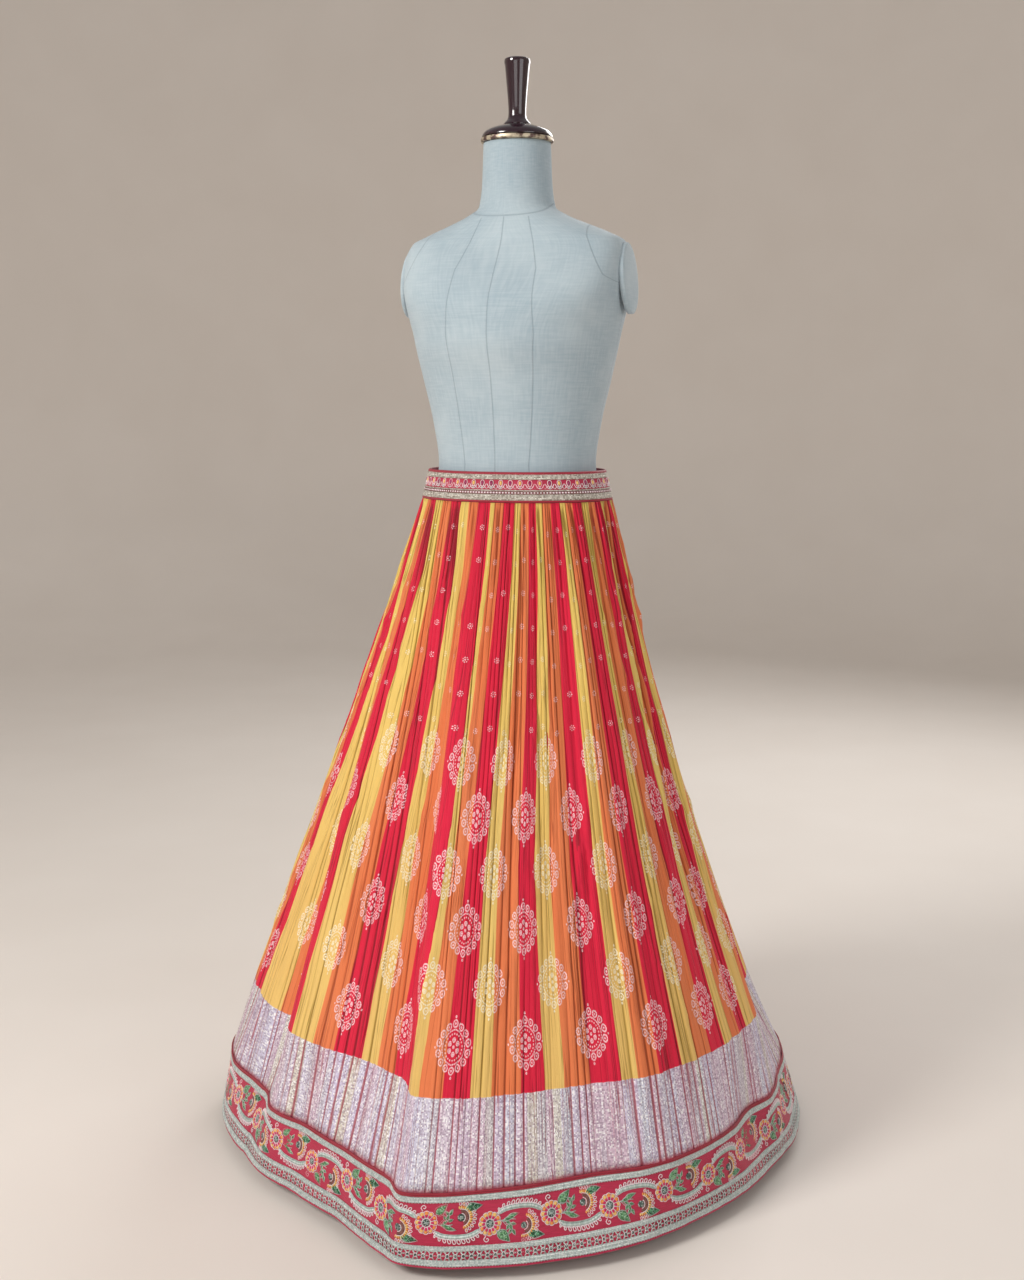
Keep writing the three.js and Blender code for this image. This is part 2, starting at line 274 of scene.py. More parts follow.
def cord(band, path, radius, closed=False, lift=0.0, flat=1.0):
    # a four-sided thread laid along a chart path of (x, z)
    path = np.array(path, float)
    count, sides = len(path), 4
    run = np.roll(path, -1, 0) - np.roll(path, 1, 0) if closed else np.gradient(path, axis=0)
    run /= np.maximum(np.hypot(*run.T), 1e-9)[:, None]
    angle = 2 * np.pi * np.arange(sides) / sides
    radius = np.broadcast_to(radius, (count,))[:, None]
    x = path[:, :1] + run[:, 1:] * np.cos(angle) * radius
    z = path[:, 1:] - run[:, :1] * np.cos(angle) * radius
    points = band.place(x, z, lift + (0.4 + np.sin(angle)) * radius * flat).reshape(-1, 3)
    faces = gridFaces(count, sides, around=closed, flip=True)
    uv = np.stack(np.meshgrid(pathLength(path), np.arange(sides) / sides, indexing="ij"), -1).reshape(-1, 2)
    if not closed:
        for cap in (np.arange(sides), (count - 1) * sides + np.arange(sides)[::-1]):
            faces = np.concatenate([faces, cap[[[0, 1, 2, 2], [0, 2, 3, 3]]]])
    return points, faces, uv


def pad(band, outline, height, lift=0.0, rings=((1.0, 0.0), (0.72, 0.8))):
    # a raised satin-stitched shape from its chart outline
    outline = np.array(outline, float)
    following = np.roll(outline, -1, 0)
    if np.sum(outline[:, 0] * following[:, 1] - outline[:, 1] * following[:, 0]) < 0:
        outline = outline[::-1]
    centre = outline.mean(0)
    count = len(outline)
    flat = np.concatenate([centre + (outline - centre) * size for size, _ in rings] + [centre[None]])
    up = np.concatenate([np.full(count, height * h) for _, h in rings] + [[height]])
    under = len(flat)
    points = np.concatenate([band.place(flat[:, 0], flat[:, 1], lift + up + 0.05),
                             band.place(outline[:, 0], outline[:, 1], np.full(count, -0.3))])
    i = np.arange(count)
    j = (i + 1) % count
    last, top, fan = (len(rings) - 1) * count, np.full(count, under - 1), np.arange(1, count - 1)
    faces = [np.stack([under + i, under + j, j, i], -1)]
    for k in range(0, last, count):
        faces.append(np.stack([k + i, k + j, k + count + j, k + count + i], -1))
    faces.append(np.stack([last + i, last + j, top, top], -1))
    faces.append(np.stack([np.full(count - 2, under), under + fan + 1, under + fan, under + fan], -1))
    return points, np.concatenate(faces), np.concatenate([flat, outline])


def turnAndMove(x, y, centre, turn):
    c, s = math.cos(math.radians(turn)), math.sin(math.radians(turn))
    return np.stack([centre[0] + x * c - y * s, centre[1] + x * s + y * c], -1)


def onCircle(radius, angle, centre=(0, 0)):
    t = math.radians(angle)
    return centre[0] + radius * math.cos(t), centre[1] + radius * math.sin(t)


def arc(centre, radius, start, end, count):
    a = np.radians(np.linspace(start, end, count))
    return np.stack([centre[0] + radius * np.cos(a), centre[1] + radius * np.sin(a)], -1)


def oval(centre, long, wide, turn, count, point=0.0):
    # an ellipse, drawn to a point at its far end
    a = 2 * np.pi * np.arange(count) / count
    return turnAndMove(long * np.cos(a), wide * np.sin(a) * (1 - point * np.cos(a)), centre, turn)


def leafShape(centre, long, wide, turn, count=10, bend=0.0):
    # pointed at both ends, bent sideways at the far one
    half = count // 2
    t = np.linspace(0, 1, half + 1)
    side = np.sin(np.pi * t) ** 0.85 * (1 + 0.35 * np.cos(np.pi * t))
    x = np.concatenate([-long + 2 * long * t, (long - 2 * long * t)[1:-1]])
    y = np.concatenate([-wide * side, (wide * side[::-1])[1:-1]]) + bend * (x / long) ** 2
    return turnAndMove(x, y, centre, turn)


def curve(points, count):
    # a smooth path through control points
    points = np.array(points, float)
    ends = np.concatenate([[2 * points[0] - points[1]], points, [2 * points[-1] - points[-2]]])
    t = np.linspace(0, len(points) - 1 - 1e-9, count)
    k = np.floor(t).astype(int)
    t = (t - k)[:, None]
    return spline(*(ends[k + i] for i in range(4)), t)


# ---- shader making
def linear(red, green, blue):
    # a colour in the renderer's own scale from the usual 0 to 255
    parts = (red / 255, green / 255, blue / 255)
    return tuple(c / 12.92 if c <= 0.04045 else ((c + 0.055) / 1.055) ** 2.4 for c in parts) + (1.0,)


class Value:
    def __init__(self, graph, socket):
        self.graph, self.socket = graph, socket

    def __add__(self, other):
        return self.graph.math("ADD", self, other)
    __radd__ = __add__

    def __mul__(self, other):
        return self.graph.math("MULTIPLY", self, other)
    __rmul__ = __mul__

    def __sub__(self, other):
        return self.graph.math("SUBTRACT", self, other)

    def __rsub__(self, other):
        return self.graph.math("SUBTRACT", other, self)

    def __truediv__(self, other):
        return self.graph.math("DIVIDE", self, other)


class Graph:
    # writes shader nodes from ordinary sums
    def __init__(self, tree):
        self.tree = tree

    def put(self, socket, value):
        if isinstance(value, Value):
            self.tree.links.new(value.socket, socket)
        elif value is not None:
            socket.default_value = value

    def node(self, kind, inputs=None, **settings):
        node = self.tree.nodes.new(kind)
        for key, value in settings.items():
            setattr(node, key, value)
        for key, value in (inputs or {}).items():
            self.put(node.inputs[key], value)
        return node

    def math(self, operation, *values, clamp=False):
        node = self.node("ShaderNodeMath", operation=operation, use_clamp=clamp)
        for socket, value in zip(node.inputs, values):
            self.put(socket, value)
        return Value(self, node.outputs[0])

    def fract(self, x):
        return self.math("FRACT", x)

    def size(self, x):
        return self.math("ABSOLUTE", x)

    def length(self, x, y):
        return self.math("SQRT", x * x + y * y)

    def larger(self, *values):
        result = values[0]
        for value in values[1:]:
            result = self.math("MAXIMUM", result, value)
        return result

    def step(self, low, high, x):
        node = self.node("ShaderNodeMapRange", {"Value": x, "From Min": low, "From Max": high},
                         interpolation_type="SMOOTHSTEP")
        return Value(self, node.outputs[0])

    def within(self, x, half, soft):
        return 1.0 - self.step(half - soft, half + soft, self.size(x))

    def mix(self, factor, first, second):
        node = self.node("ShaderNodeMix", data_type="RGBA")
        self.put(node.inputs[0], factor)
        self.put(node.inputs[6], first)
        self.put(node.inputs[7], second)
        return Value(self, node.outputs[2])

    def uv(self, name="cloth"):
        parts = self.node("ShaderNodeSeparateXYZ")
        source = self.node("ShaderNodeUVMap", uv_map=name)
        self.tree.links.new(source.outputs[0], parts.inputs[0])
        return Value(self, parts.outputs[0]), Value(self, parts.outputs[1])

    def attribute(self, name):
        return Value(self, self.node("ShaderNodeAttribute", attribute_name=name).outputs["Fac"])

    def vector(self, x, y, z=0.0):
        return Value(self, self.node("ShaderNodeCombineXYZ", {"X": x, "Y": y, "Z": z}).outputs[0])

    def noise(self, vector, scale, detail=2.0, roughness=0.5):
        node = self.node("ShaderNodeTexNoise", {"Vector": vector, "Scale": scale, "Detail": detail,
                                                "Roughness": roughness})
        return Value(self, node.outputs[0])

    def chance(self, vector):
        node = self.node("ShaderNodeTexWhiteNoise", {"Vector": vector}, noise_dimensions="3D")
        return Value(self, node.outputs[0])

    def place(self):
        return Value(self, self.node("ShaderNodeTexCoord").outputs["Object"])

    def bump(self, height, strength, distance):
        inputs = {"Height": height, "Strength": strength, "Distance": distance}
        return Value(self, self.node("ShaderNodeBump", inputs).outputs[0])

    def group(self, tree, **inputs):
        node = self.node("ShaderNodeGroup", node_tree=tree)
        for key, value in inputs.items():
            self.put(node.inputs[key], value)
        return {socket.name: Value(self, socket) for socket in node.outputs}


def makeGroup(name, inputs, outputs, build):
    tree = bpy.data.node_groups.new(name, "ShaderNodeTree")
    for key, start in inputs.items():
        tree.interface.new_socket(key, in_out="INPUT", socket_type="NodeSocketFloat").default_value = start
    for key in outputs:
        tree.interface.new_socket(key, in_out="OUTPUT", socket_type="NodeSocketFloat")
    graph = Graph(tree)
    source, target = tree.nodes.new("NodeGroupInput"), tree.nodes.new("NodeGroupOutput")
    result = build(graph, {s.name: Value(graph, s) for s in source.outputs if s.name})
    for key, value in result.items():
        graph.put(target.inputs[key], value)
    return tree


def makeMaterial(name, build, viewColour):
    material = bpy.data.materials.new(name)
    material.use_nodes = True
    material.diffuse_color = viewColour
    graph = Graph(material.node_tree)
    surface = material.node_tree.nodes["Principled BSDF"]
    for key, value in build(graph).items():
        graph.put(surface.inputs[key], value)
    return material


# a printed medallion of dotted rings, X and Y from -1 to 1
def buildMedallion(g, s):
    x, y = s["X"], s["Y"]
    turn = g.math("ARCTAN2", y, x) / (2 * math.pi) + 0.5
    r = g.length(g.size(x) + y * y * 0.2, y)

    def beads(count, radius, size, line=None):
        along = (g.fract(turn * count) - 0.5) * (2 * math.pi * radius / count)
        d = g.length(along, r - radius)
        if line is None:
            return g.within(d, size, 0.014)
        return g.larger(g.within(d - size, line, 0.014), g.within(d, line * 1.5, 0.014))
    tips = g.larger(g.within(g.length(x, g.size(y) - 1.03), 0.05, 0.012),
                    g.within(g.length(g.size(x) - 1.0, y), 0.04, 0.012))
    dashes = g.within(g.fract(turn * 36.0) - 0.5, 0.4, 0.08)
    mask = g.larger(beads(14, 0.81, 0.125, 0.03), g.within(r - 0.6, 0.03, 0.014) * dashes,
                    beads(22, 0.46, 0.036), beads(6, 0.24, 0.07, 0.026), g.within(r, 0.06, 0.02), tips)
    return {"Mask": mask}


# a small flower of printed dots, X and Y in its own radius
def buildDotFlower(g, s):
    x, y = s["X"], s["Y"]
    turn = g.math("ARCTAN2", y, x) / (2 * math.pi) + 0.5
    r = g.length(x, y)
    along = (g.fract(turn * 7) - 0.5) * (2 * math.pi * 0.75 / 7)
    return {"Mask": g.larger(g.within(g.length(along, r - 0.75), 0.2, 0.08), g.within(r, 0.26, 0.08))}


# plain weave: X and Y in millimetres, Size of one thread
def buildWeave(g, s):
    x, y = s["X"] / s["Size"], s["Y"] / s["Size"]
    warp = g.math("SINE", x * math.pi)
    weft = g.math("SINE", y * math.pi)
    slub = g.noise(g.vector(x * 0.35, y * 0.03), 1.0, 3.0)
    slubAcross = g.noise(g.vector(x * 0.03, y * 0.35), 1.0, 3.0)
    height = warp * weft * 0.25 + slub * 0.6 + slubAcross * 0.6
    return {"Height": height, "Slub": slub * 0.5 + slubAcross * 0.5}


# twisted thread: Along in millimetres, Around from 0 to 1
def buildTwist(g, s):
    wave = g.math("SINE", (s["Along"] / s["Pitch"] + s["Around"]) * (2 * math.pi)) * 0.5 + 0.5
    return {"Height": wave}


weaveGroup = makeGroup("plain weave", {"X": 0.0, "Y": 0.0, "Size": 0.4}, ["Height", "Slub"], buildWeave)
twistGroup = makeGroup("thread twist", {"Along": 0.0, "Around": 0.0, "Pitch": 1.2}, ["Height"], buildTwist)
medallionGroup = makeGroup("printed medallion", {"X": 0.0, "Y": 0.0}, ["Mask"], buildMedallion)
dotGroup = makeGroup("printed dots", {"X": 0.0, "Y": 0.0}, ["Mask"], buildDotFlower)


def show(piece, slotName, *nodes):
    # the piece rides the root body and stands for its CAD nodes
    if nodes:
        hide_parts(*nodes)
    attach(piece, "root")
    return piece


def numbered(name, count):
    return [f"{name}_{i}" for i in range(1, count + 1)]


# ---- skirt cloth: stripes, print and silver band
printSettings = {
    "yellowEnd": 1 / 3, "orangeEnd": 2 / 3, "setEnd": 0.994, "stripeSoft": 0.006, "setWidth": 118.0,
    "medallionHalf": 24.5, "medallionHeight": 0.035, "medallionPitch": 0.1395,
    "firstRows": (0.351, 0.2815), "medallionRows": 3,
    "dotPitch": 0.0445, "dotTop": 0.965, "dotBottom": 0.655, "dotRadius": 4.2, "dotShare": 0.78,
    "silverTop": 0.2222, "fadeTop": 0.1185, "fadeBottom": 0.1125,
}


def stripeColours(g, u, z):
    # the yellow, orange and red stripes of a set, and where orange and red are
    s = printSettings
    warp = (g.noise(g.vector(u * 1.3, z * 2.5), 1.0, 2.0) - 0.5) * 0.07
    phase = g.fract(u + warp)
    soft = s["stripeSoft"]
    orange = g.step(s["yellowEnd"] - soft, s["yellowEnd"] + soft, phase)
    red = g.step(s["orangeEnd"] - soft, s["orangeEnd"] + soft, phase)
    red = red * (1.0 - g.step(s["setEnd"], 1.0, phase))
    orange = orange * (1.0 - g.step(s["setEnd"], 1.0, phase))
    high = g.step(0.25, 0.9, z)
    tint = g.noise(g.vector(u * 3.0, z * 3.0), 1.0, 3.0)
    yellow = g.mix(high, linear(226, 176, 98), linear(232, 196, 90))
    yellow = g.mix(tint, yellow, linear(240, 208, 122))
    orangeColour = g.mix(tint, linear(224, 108, 56), linear(236, 138, 88))
    redColour = g.mix(tint, linear(208, 8, 46), linear(228, 22, 68))
    colour = g.mix(red, g.mix(orange, yellow, orangeColour), redColour)
    return colour, orange, red, phase, tint


def printMask(g, u, z, phase, tint):
    # medallions on the yellow and orange stripes, small flowers of dots above them
    s = printSettings
    fromYellow, fromOrange = g.uv("print")

    def rows(offset, first):
        count = s["medallionRows"]
        v = (z - first) / s["medallionPitch"] + 0.5
        inside = g.step(-0.001, 0.0, v) * (1.0 - g.step(count - 0.001, float(count), v))
        y = (g.fract(v) - 0.5) * (s["medallionPitch"] / s["medallionHeight"])
        x = offset / s["medallionHalf"]
        return g.group(medallionGroup, X=x, Y=y)["Mask"] * inside
    printed = g.larger(rows(fromYellow + 7.0, s["firstRows"][0]), rows(fromOrange - 8.0, s["firstRows"][1]))
    column = phase * 3.0
    row = (z - s["dotBottom"]) / s["dotPitch"]
    shift = g.chance(g.vector(g.math("FLOOR", column), g.math("FLOOR", u), 3.0))
    row = row + shift * 0.3
    cell = g.vector(g.math("FLOOR", column), g.math("FLOOR", u), g.math("FLOOR", row))
    present = g.math("GREATER_THAN", g.chance(cell), 1 - s["dotShare"])
    dots = g.group(dotGroup, X=(g.fract(column) - 0.5) * (s["setWidth"] / 3 * 0.62 / s["dotRadius"]),
                   Y=(g.fract(row) - 0.5) * (s["dotPitch"] * 1000 / s["dotRadius"]))["Mask"]
    high = g.step(s["dotBottom"], s["dotBottom"] + 0.001, z)
    dots = dots * present * high * (1.0 - g.step(s["dotTop"] - 0.001, s["dotTop"], z))
    wear = g.step(0.25, 0.6, g.noise(g.vector(u * 90.0, z * 900.0), 1.0, 2.0)) * (0.68 + 0.45 * tint)
    return g.larger(printed, dots) * wear


def silverBand(g, u, z, streak, shade):
    # the woven silver band at the foot of the panels: its mask and its colour
    s = printSettings
    ragged = (g.noise(g.vector(u * 12.0, 0.0), 1.0) - 0.5) * 0.0016
    mask = 1.0 - g.step(s["silverTop"] - 0.0006, s["silverTop"] + 0.0006, z + ragged)
    tone = g.chance(g.vector(g.math("FLOOR", u * 8.0), 7.0, 1.0))
    colour = g.mix(g.step(0.2, 0.6, tone), linear(222, 196, 214), linear(214, 208, 232))
    colour = g.mix(g.step(0.55, 0.95, tone), colour, linear(220, 214, 202))
    patch = g.step(0.45, 0.7, g.noise(g.vector(u * 5.0, z * 3.0), 1.0)) * 0.5
    colour = g.mix(patch, colour, linear(206, 220, 228))
    sparkle = g.chance(g.vector(g.math("FLOOR", u * 64.0), g.math("FLOOR", z * 520.0), 1.0))
    colour = g.mix(g.step(0.6, 1.0, sparkle) * 0.9, colour, linear(255, 254, 255))
    colour = g.mix(g.step(0.5, 0.0, sparkle) * 0.6, colour, linear(138, 112, 140))
    stripe = g.step(0.45, 0.75, g.noise(g.vector(u * 46.0, z * 2.0), 1.0, 2.0)) * 0.45
    colour = g.mix(stripe, colour, linear(150, 118, 140))
    colour = g.mix(g.step(0.3, 0.85, shade + (streak - 0.5) * 0.5) * 0.85, colour, linear(164, 72, 84))
    blend = (g.noise(g.vector(u * 60.0, 2.0), 1.0) - 0.5) * 0.008
    fade = 1.0 - g.step(s["fadeBottom"], s["fadeTop"], z + blend)
    return mask, g.mix(fade * 0.6, colour, linear(228, 84, 116))


def silkLook(g):
    u, z = g.uv()
    valley = g.attribute("valley")
    colour, orange, red, phase, tint = stripeColours(g, u, z)
    # thread streaks, and painted shade down in the pleats, folds and creases
    streak = g.noise(g.vector(u * 60.0, z * 4.0), 1.0, 2.0)
    crease = 1.0 - g.step(0.0, 0.045, g.size(g.noise(g.vector(u * 17.0, z * 2.2), 1.0, 1.0) - 0.5))
    crease = crease * g.step(0.35, 0.6, g.noise(g.vector(u * 9.0, z * 7.0), 1.0, 2.0))
    # dark: the painted shade colour of each stripe, olive, brown or maroon
    dark = g.mix(red, g.mix(orange, linear(150, 118, 40), linear(160, 68, 28)), linear(130, 6, 28))
    fine = g.noise(g.vector(u * 260.0, z * 6.0), 1.0, 2.0)
    # painted shade from valley and crease, plus random thread streaks and fine tone
    shadeAndStreaks = g.larger(valley, crease * 0.75) + (streak - 0.5) * 0.7 + (fine - 0.5) * 0.6
    colour = g.mix(g.step(0.25, 0.95, shadeAndStreaks) * 0.85, colour, dark)
    printed = printMask(g, u, z, phase, tint)
    printColour = g.mix(g.larger(red, orange), linear(250, 244, 222), linear(252, 226, 232))
    colour = g.mix(printed, colour, printColour)
    silver, silverColour = silverBand(g, u, z, streak, g.larger(valley, crease * 0.8))
    colour = g.mix(silver, colour, silverColour)
    weave = g.group(weaveGroup, X=u * printSettings["setWidth"], Y=z * 1000.0, Size=0.45)
    crepe = g.noise(g.vector(u * 130.0, z * 1200.0), 1.0, 3.0, 0.7)
    crush = g.noise(g.vector(u * 9.0 + z * 9.0, z * 30.0 - u * 2.0), 1.0, 4.0, 0.6)
    height = crease * -2.5 + weave["Height"] * (1.0 - silver) + crepe * silver * 2.2 + crush * 3.5
    shine = g.larger(silver, printed)
    return {"Base Color": colour, "Roughness": 0.6 - shine * 0.18 + (streak - 0.5) * 0.15,
            "Metallic": shine * 0.3, "Specular IOR Level": 0.35, "Sheen Weight": 0.04,
            "Normal": g.bump(height, 0.6, 0.0008)}


def liningLook(g):
    u, z = g.uv()
    weave = g.group(weaveGroup, X=u * 110.0, Y=z * 1000.0, Size=0.7)
    colour = g.mix(weave["Slub"], linear(150, 16, 36), linear(186, 34, 56))
    return {"Base Color": colour, "Roughness": 0.85, "Normal": g.bump(weave["Height"], 0.5, 0.0005)}


silk = makeMaterial("striped_silk_look", silkLook, linear(228, 140, 80))
lining = makeMaterial("lining_look", liningLook, linear(170, 25, 45))

pleatSettings = {
    "perSet": 8, "spots": (0.0, 0.07, 0.22, 0.5, 0.78, 0.93), "wall": 2.0, "rows": 68, "innerRows": 10,
    "depth": ((975, 1.2), (930, 2.2), (700, 2.3), (400, 2.3), (222, 2.1), (112.3, 1.0)),
}
pleats = stripeSets * pleatSettings["perSet"]
startHeights = [240, 500, 880]
colourSets = 23  # sets of stripes followed round the skirt, one less than in the panels' chart


# where each set of three stripes starts round the skirt, at three heights from low to high
setStarts = np.array([[-1.05, -0.7, -0.1], [0.6, 0.68, 1.12], [1.74, 1.85, 2.28], [2.8, 3.03, 3.32],
                      [3.98, 3.96, 4.22], [5.12, 4.98, 5.22], [6.32, 6.25, 6.35], [7.4, 7.4, 7.45]])
# and where orange and red start in each, as a part of the set
setParts = np.array([[0.55, 0.75], [0.35, 0.63], [0.27, 0.6], [0.14, 0.5], [0.27, 0.66], [0.25, 0.6],
                     [0.24, 0.56]])


def stripeEdgesAt(z):
    # where each stripe starts, set by set round the skirt
    start = np.array([np.interp(z, startHeights, row) for row in setStarts])
    turn = start[0] + float(stripeSets)
    hidden = colourSets - len(setParts)
    rest = np.arange(1, hidden + 1)
    drift = np.where(rest < hidden, 0.1 * np.sin(rest * 2.3), 0)
    start = np.concatenate([start, start[-1] + (turn - start[-1]) * rest / hidden + drift])
    uneven = 0.05 * np.sin(np.arange(hidden)[:, None] * np.array([1.7, 2.9]))
    parts = np.concatenate([setParts, 0.5 + np.array([-0.17, 0.15]) + uneven])
    wide = np.diff(start)[:, None]
    edges = np.concatenate([start[:-1, None], start[:-1, None] + parts * wide], 1).ravel()
    return np.concatenate([edges, [turn]])


def stripeCount(u, z):
    edges = stripeEdgesAt(z)
    lap = np.floor((u - edges[0]) / stripeSets)
    return np.interp(u - stripeSets * lap, edges, np.arange(len(edges)) / 3.0) + colourSets * lap


def printPlace(u, height, column, spot):
    # how far each face corner is from the nearest yellow and orange stripe's end
    edges = np.stack([stripeEdgesAt(z) for z in height])[:, :-1]
    table = np.concatenate([edges - stripeSets, edges, edges + stripeSets], 1)
    fine = np.linspace(-stripeSets, 2 * stripeSets, 4321)
    run = np.roll(clothRing(fine, levels["silver"]), -1, 0) - clothRing(fine, levels["silver"])
    cloth = np.concatenate([[0], np.cumsum(np.hypot(*run[:-1].T))])
    around = np.interp(np.concatenate([u, [float(stripeSets)]]), fine, cloth)
    table = np.interp(table, fine, cloth)
    result = []
    for kind in (1, 2):
        some = table[:, kind::3]
        middle = (around[column[:, :1]] + around[column[:, 2:3]]) / 2
        nearest = np.argmin(np.abs(some[spot[:, 0]] - middle), axis=1)[:, None]
        result.append(around[column] - some[spot, nearest])
    return np.stack(result, -1)


def pleatJitter(k):
    # pleats of uneven width
    h = np.sin(np.mod(k, pleats) * 78.233 + 1.3) * 24634.6345
    return np.where(np.mod(k, pleats) == 0, 0.0, (h - np.floor(h) - 0.5) * 0.62)


def pleatPlace(u):
    edges = np.arange(-1, pleats + 2)
    return np.interp(u * pleatSettings["perSet"], edges + pleatJitter(edges), edges)


def pleatLift(u, z):
    # pressed pleats and the loose creases between them
    s = pleatSettings
    depth = np.interp(z, *zip(*s["depth"][::-1]))
    place = pleatPlace(u)
    which = np.floor(place + 1e-6)
    across = place - which
    own = np.sin(which * 12.9898) * 43758.5453
    own = own - np.floor(own)
    near = np.where(across > 0.5, which + 1, which)
    groove = np.exp(-(np.minimum(across, 1 - across) / 0.11) ** 2)
    strength = np.clip(1.5 * noise1(np.mod(near, pleats) * 1.7 + z / 380.0, 3) - 0.1, 0.12, 1.35)
    tilt = (across - 0.5) * (own - 0.5) * 2.4
    lift = depth * (0.6 - groove * strength + tilt * 0.5)
    wave = 3.6 * (noise1(u * 2.6 + z / 900.0, 1) - 0.5) + 2.8 * (noise1(u * 5.1 - z / 500.0, 2) - 0.5)
    slack = np.interp(z, [112, 222, 700, 900, 975], [0.2, 1.0, 1.2, 1.4, 0.2])
    # long soft folds that swallow part of a stripe
    k = np.floor(u)
    fold = np.zeros_like(u)
    for centre, wide, seed in ((0.84, 0.085, 31), (0.52, 0.07, 33), (0.14, 0.06, 35)):
        wander = (noise1(k * 5.3 + z / 260.0, seed) - 0.5) * 0.16
        much = np.clip(noise1(k * 3.9 + z / 520.0, seed + 1) * 1.5 - 0.35, 0, 1)
        fold = fold + much * np.exp(-((u - k - centre - wander) / wide) ** 2)
    reach = np.interp(z, [112, 200, 420, 700, 900, 960, 975], [0.0, 1.6, 4.2, 6.2, 5.2, 2.2, 0.0])
    # small gathers where the cloth is pulled into the waistband
    tuck = noise1(u * 9.3 + z / 90.0, 41) - 0.5
    gather = tuck * np.interp(z, [800, 880, 950, 970, 975], [0.0, 2.6, 5.4, 3.6, 0.6])
    # slanting creases here and there
    crease = 0.0
    for slope, seed in ((75.0, 51), (-95.0, 53)):
        ridge = (1 - np.abs(2 * noise1(u * 2.3 + z / slope, seed) - 1)) ** 3
        crease = crease + ridge * np.clip(noise1(u * 3.1 - z / 140.0, seed + 1) * 2.4 - 1.1, 0, 1)
    crease = crease * np.interp(z, [222, 320, 820, 950], [0.0, 3.6, 4.8, 0.0])
    # valley: how deep a point lies in a pleat, fold or gather; the silk look paints shade from it
    valley = np.clip(groove * strength + fold * 0.4 + np.maximum(-gather, 0) * 0.45, 0, 1)
    return lift + wave * slack - fold * reach + gather + crease, valley


def buildSkirt():
    s = pleatSettings
    edges = np.arange(pleats + 1)
    edges = edges + pleatJitter(edges)
    u = (edges[:-1, None] + np.diff(edges)[:, None] * np.array(s["spots"])).ravel() / s["perSet"]
    rows = levels["skirtTop"] - (levels["skirtTop"] - levels["skirtBottom"]) * np.linspace(0, 1, s["rows"])
    rows[np.argmin(np.abs(rows - levels["silver"]))] = levels["silver"]
    height = np.concatenate([rows, np.linspace(levels["skirtBottom"], levels["skirtTop"], s["innerRows"])])
    size = len(height)
    grid = np.zeros((len(u), size, 3))
    valley = np.zeros(grid.shape[:2])
    for j, z in enumerate(height):
        ring = clothRing(u, z)
        lift, low = pleatLift(u, z)
        outside = j < len(rows)
        grid[:, j, :2] = ring + outwards(ring) * (lift + s["wall"] * (0.5 if outside else -0.75))[:, None]
        grid[:, j, 2] = z
        if outside:
            valley[:, j] = low
    faces = gridFaces(len(u), size)
    around = np.concatenate([u, [float(stripeSets)]])
    count = np.stack([stripeCount(around, z) for z in height], 1)
    column, row = faces[:, :1] // size + np.array([[0, 0, 1, 1]]), faces % size
    uv = np.stack([count[column, row], height[row] / 1000.0], -1)
    inner = np.where(row[:, 0] < len(rows) - 1, 0, 1)
    return addMesh("skirt_cloth", grid.reshape(-1, 3), faces, uv, [silk, lining], inner,
                   {"valley": valley.ravel()}, {"print": printPlace(u, height, column, row)})


skirt = show(buildSkirt(), "striped_silk", *numbered("skirt_panel", 8))
print("skirt")


# ---- thread and trimming materials
def threadLook(first, second, metal=0.0, rough=0.5):
    def look(g):
        u, v = g.uv()
        twist = g.group(twistGroup, Along=u, Around=v, Pitch=1.1)["Height"]
        spot = g.chance(g.vector(g.math("FLOOR", u * 1.6), g.math("FLOOR", v * 1.6), 2.0))
        # random cells and the crests of the twist take the light second colour: random tone, and painted
        # light along the twist
        colour = g.mix(g.step(0.15, 0.95, spot) * 0.7 + twist * 0.3, first, second)
        return {"Base Color": colour, "Roughness": rough, "Metallic": metal,
                "Normal": g.bump(twist + spot * 0.7, 0.5, 0.0004)}
    return look


def sequinLook(first, second):
    def look(g):
        u, v = g.uv()
        row = g.math("FLOOR", v * 0.55)
        cell = g.chance(g.vector(g.math("FLOOR", u * 0.55 + row * 0.5), row, 4.0))
        edge = g.length(g.fract(u * 0.55 + row * 0.5) - 0.5, g.fract(v * 0.55) - 0.5)
        # random sequins take the light second colour: painted glints
        colour = g.mix(g.step(0.3, 0.95, cell), first, second)
        colour = g.mix(g.step(0.32, 0.5, edge) * 0.5, colour, linear(50, 62, 54))
        return {"Base Color": colour, "Roughness": 0.22 + cell * 0.3, "Metallic": 0.35,
                "Normal": g.bump(cell * 0.8 - g.step(0.3, 0.5, edge) * 0.5, 0.8, 0.0007)}
    return look


def braidLook(first, second, dark, stitchLength):
    # rows of slanted stitches along a woven braid
    rowHeight = 1.9

    def look(g):
        u, v = g.uv()
        row = g.math("FLOOR", v / rowHeight)
        lean = (v - row * rowHeight) * 0.6 * (g.fract(row * 0.5) * 4.0 - 1.0)
        slant = g.fract((u + lean) / stitchLength)
        stitch = g.math("SINE", slant * math.pi)
        gap = g.within(g.fract(v / rowHeight) - 0.5, 0.40, 0.08)
        spot = g.chance(g.vector(g.math("FLOOR", u / stitchLength), row, 1.0))
        # spot gives random stitches the light second colour: painted glints
        colour = g.mix(spot, first, second)
        # dark: painted shade between the stitches and between the rows
        colour = g.mix((1.0 - gap * g.step(0.1, 0.6, stitch)) * 0.6, colour, dark)
        return {"Base Color": colour, "Roughness": 0.3 + spot * 0.25, "Metallic": 0.3,
                "Normal": g.bump(stitch * gap, 0.9, 0.0009)}
    return look


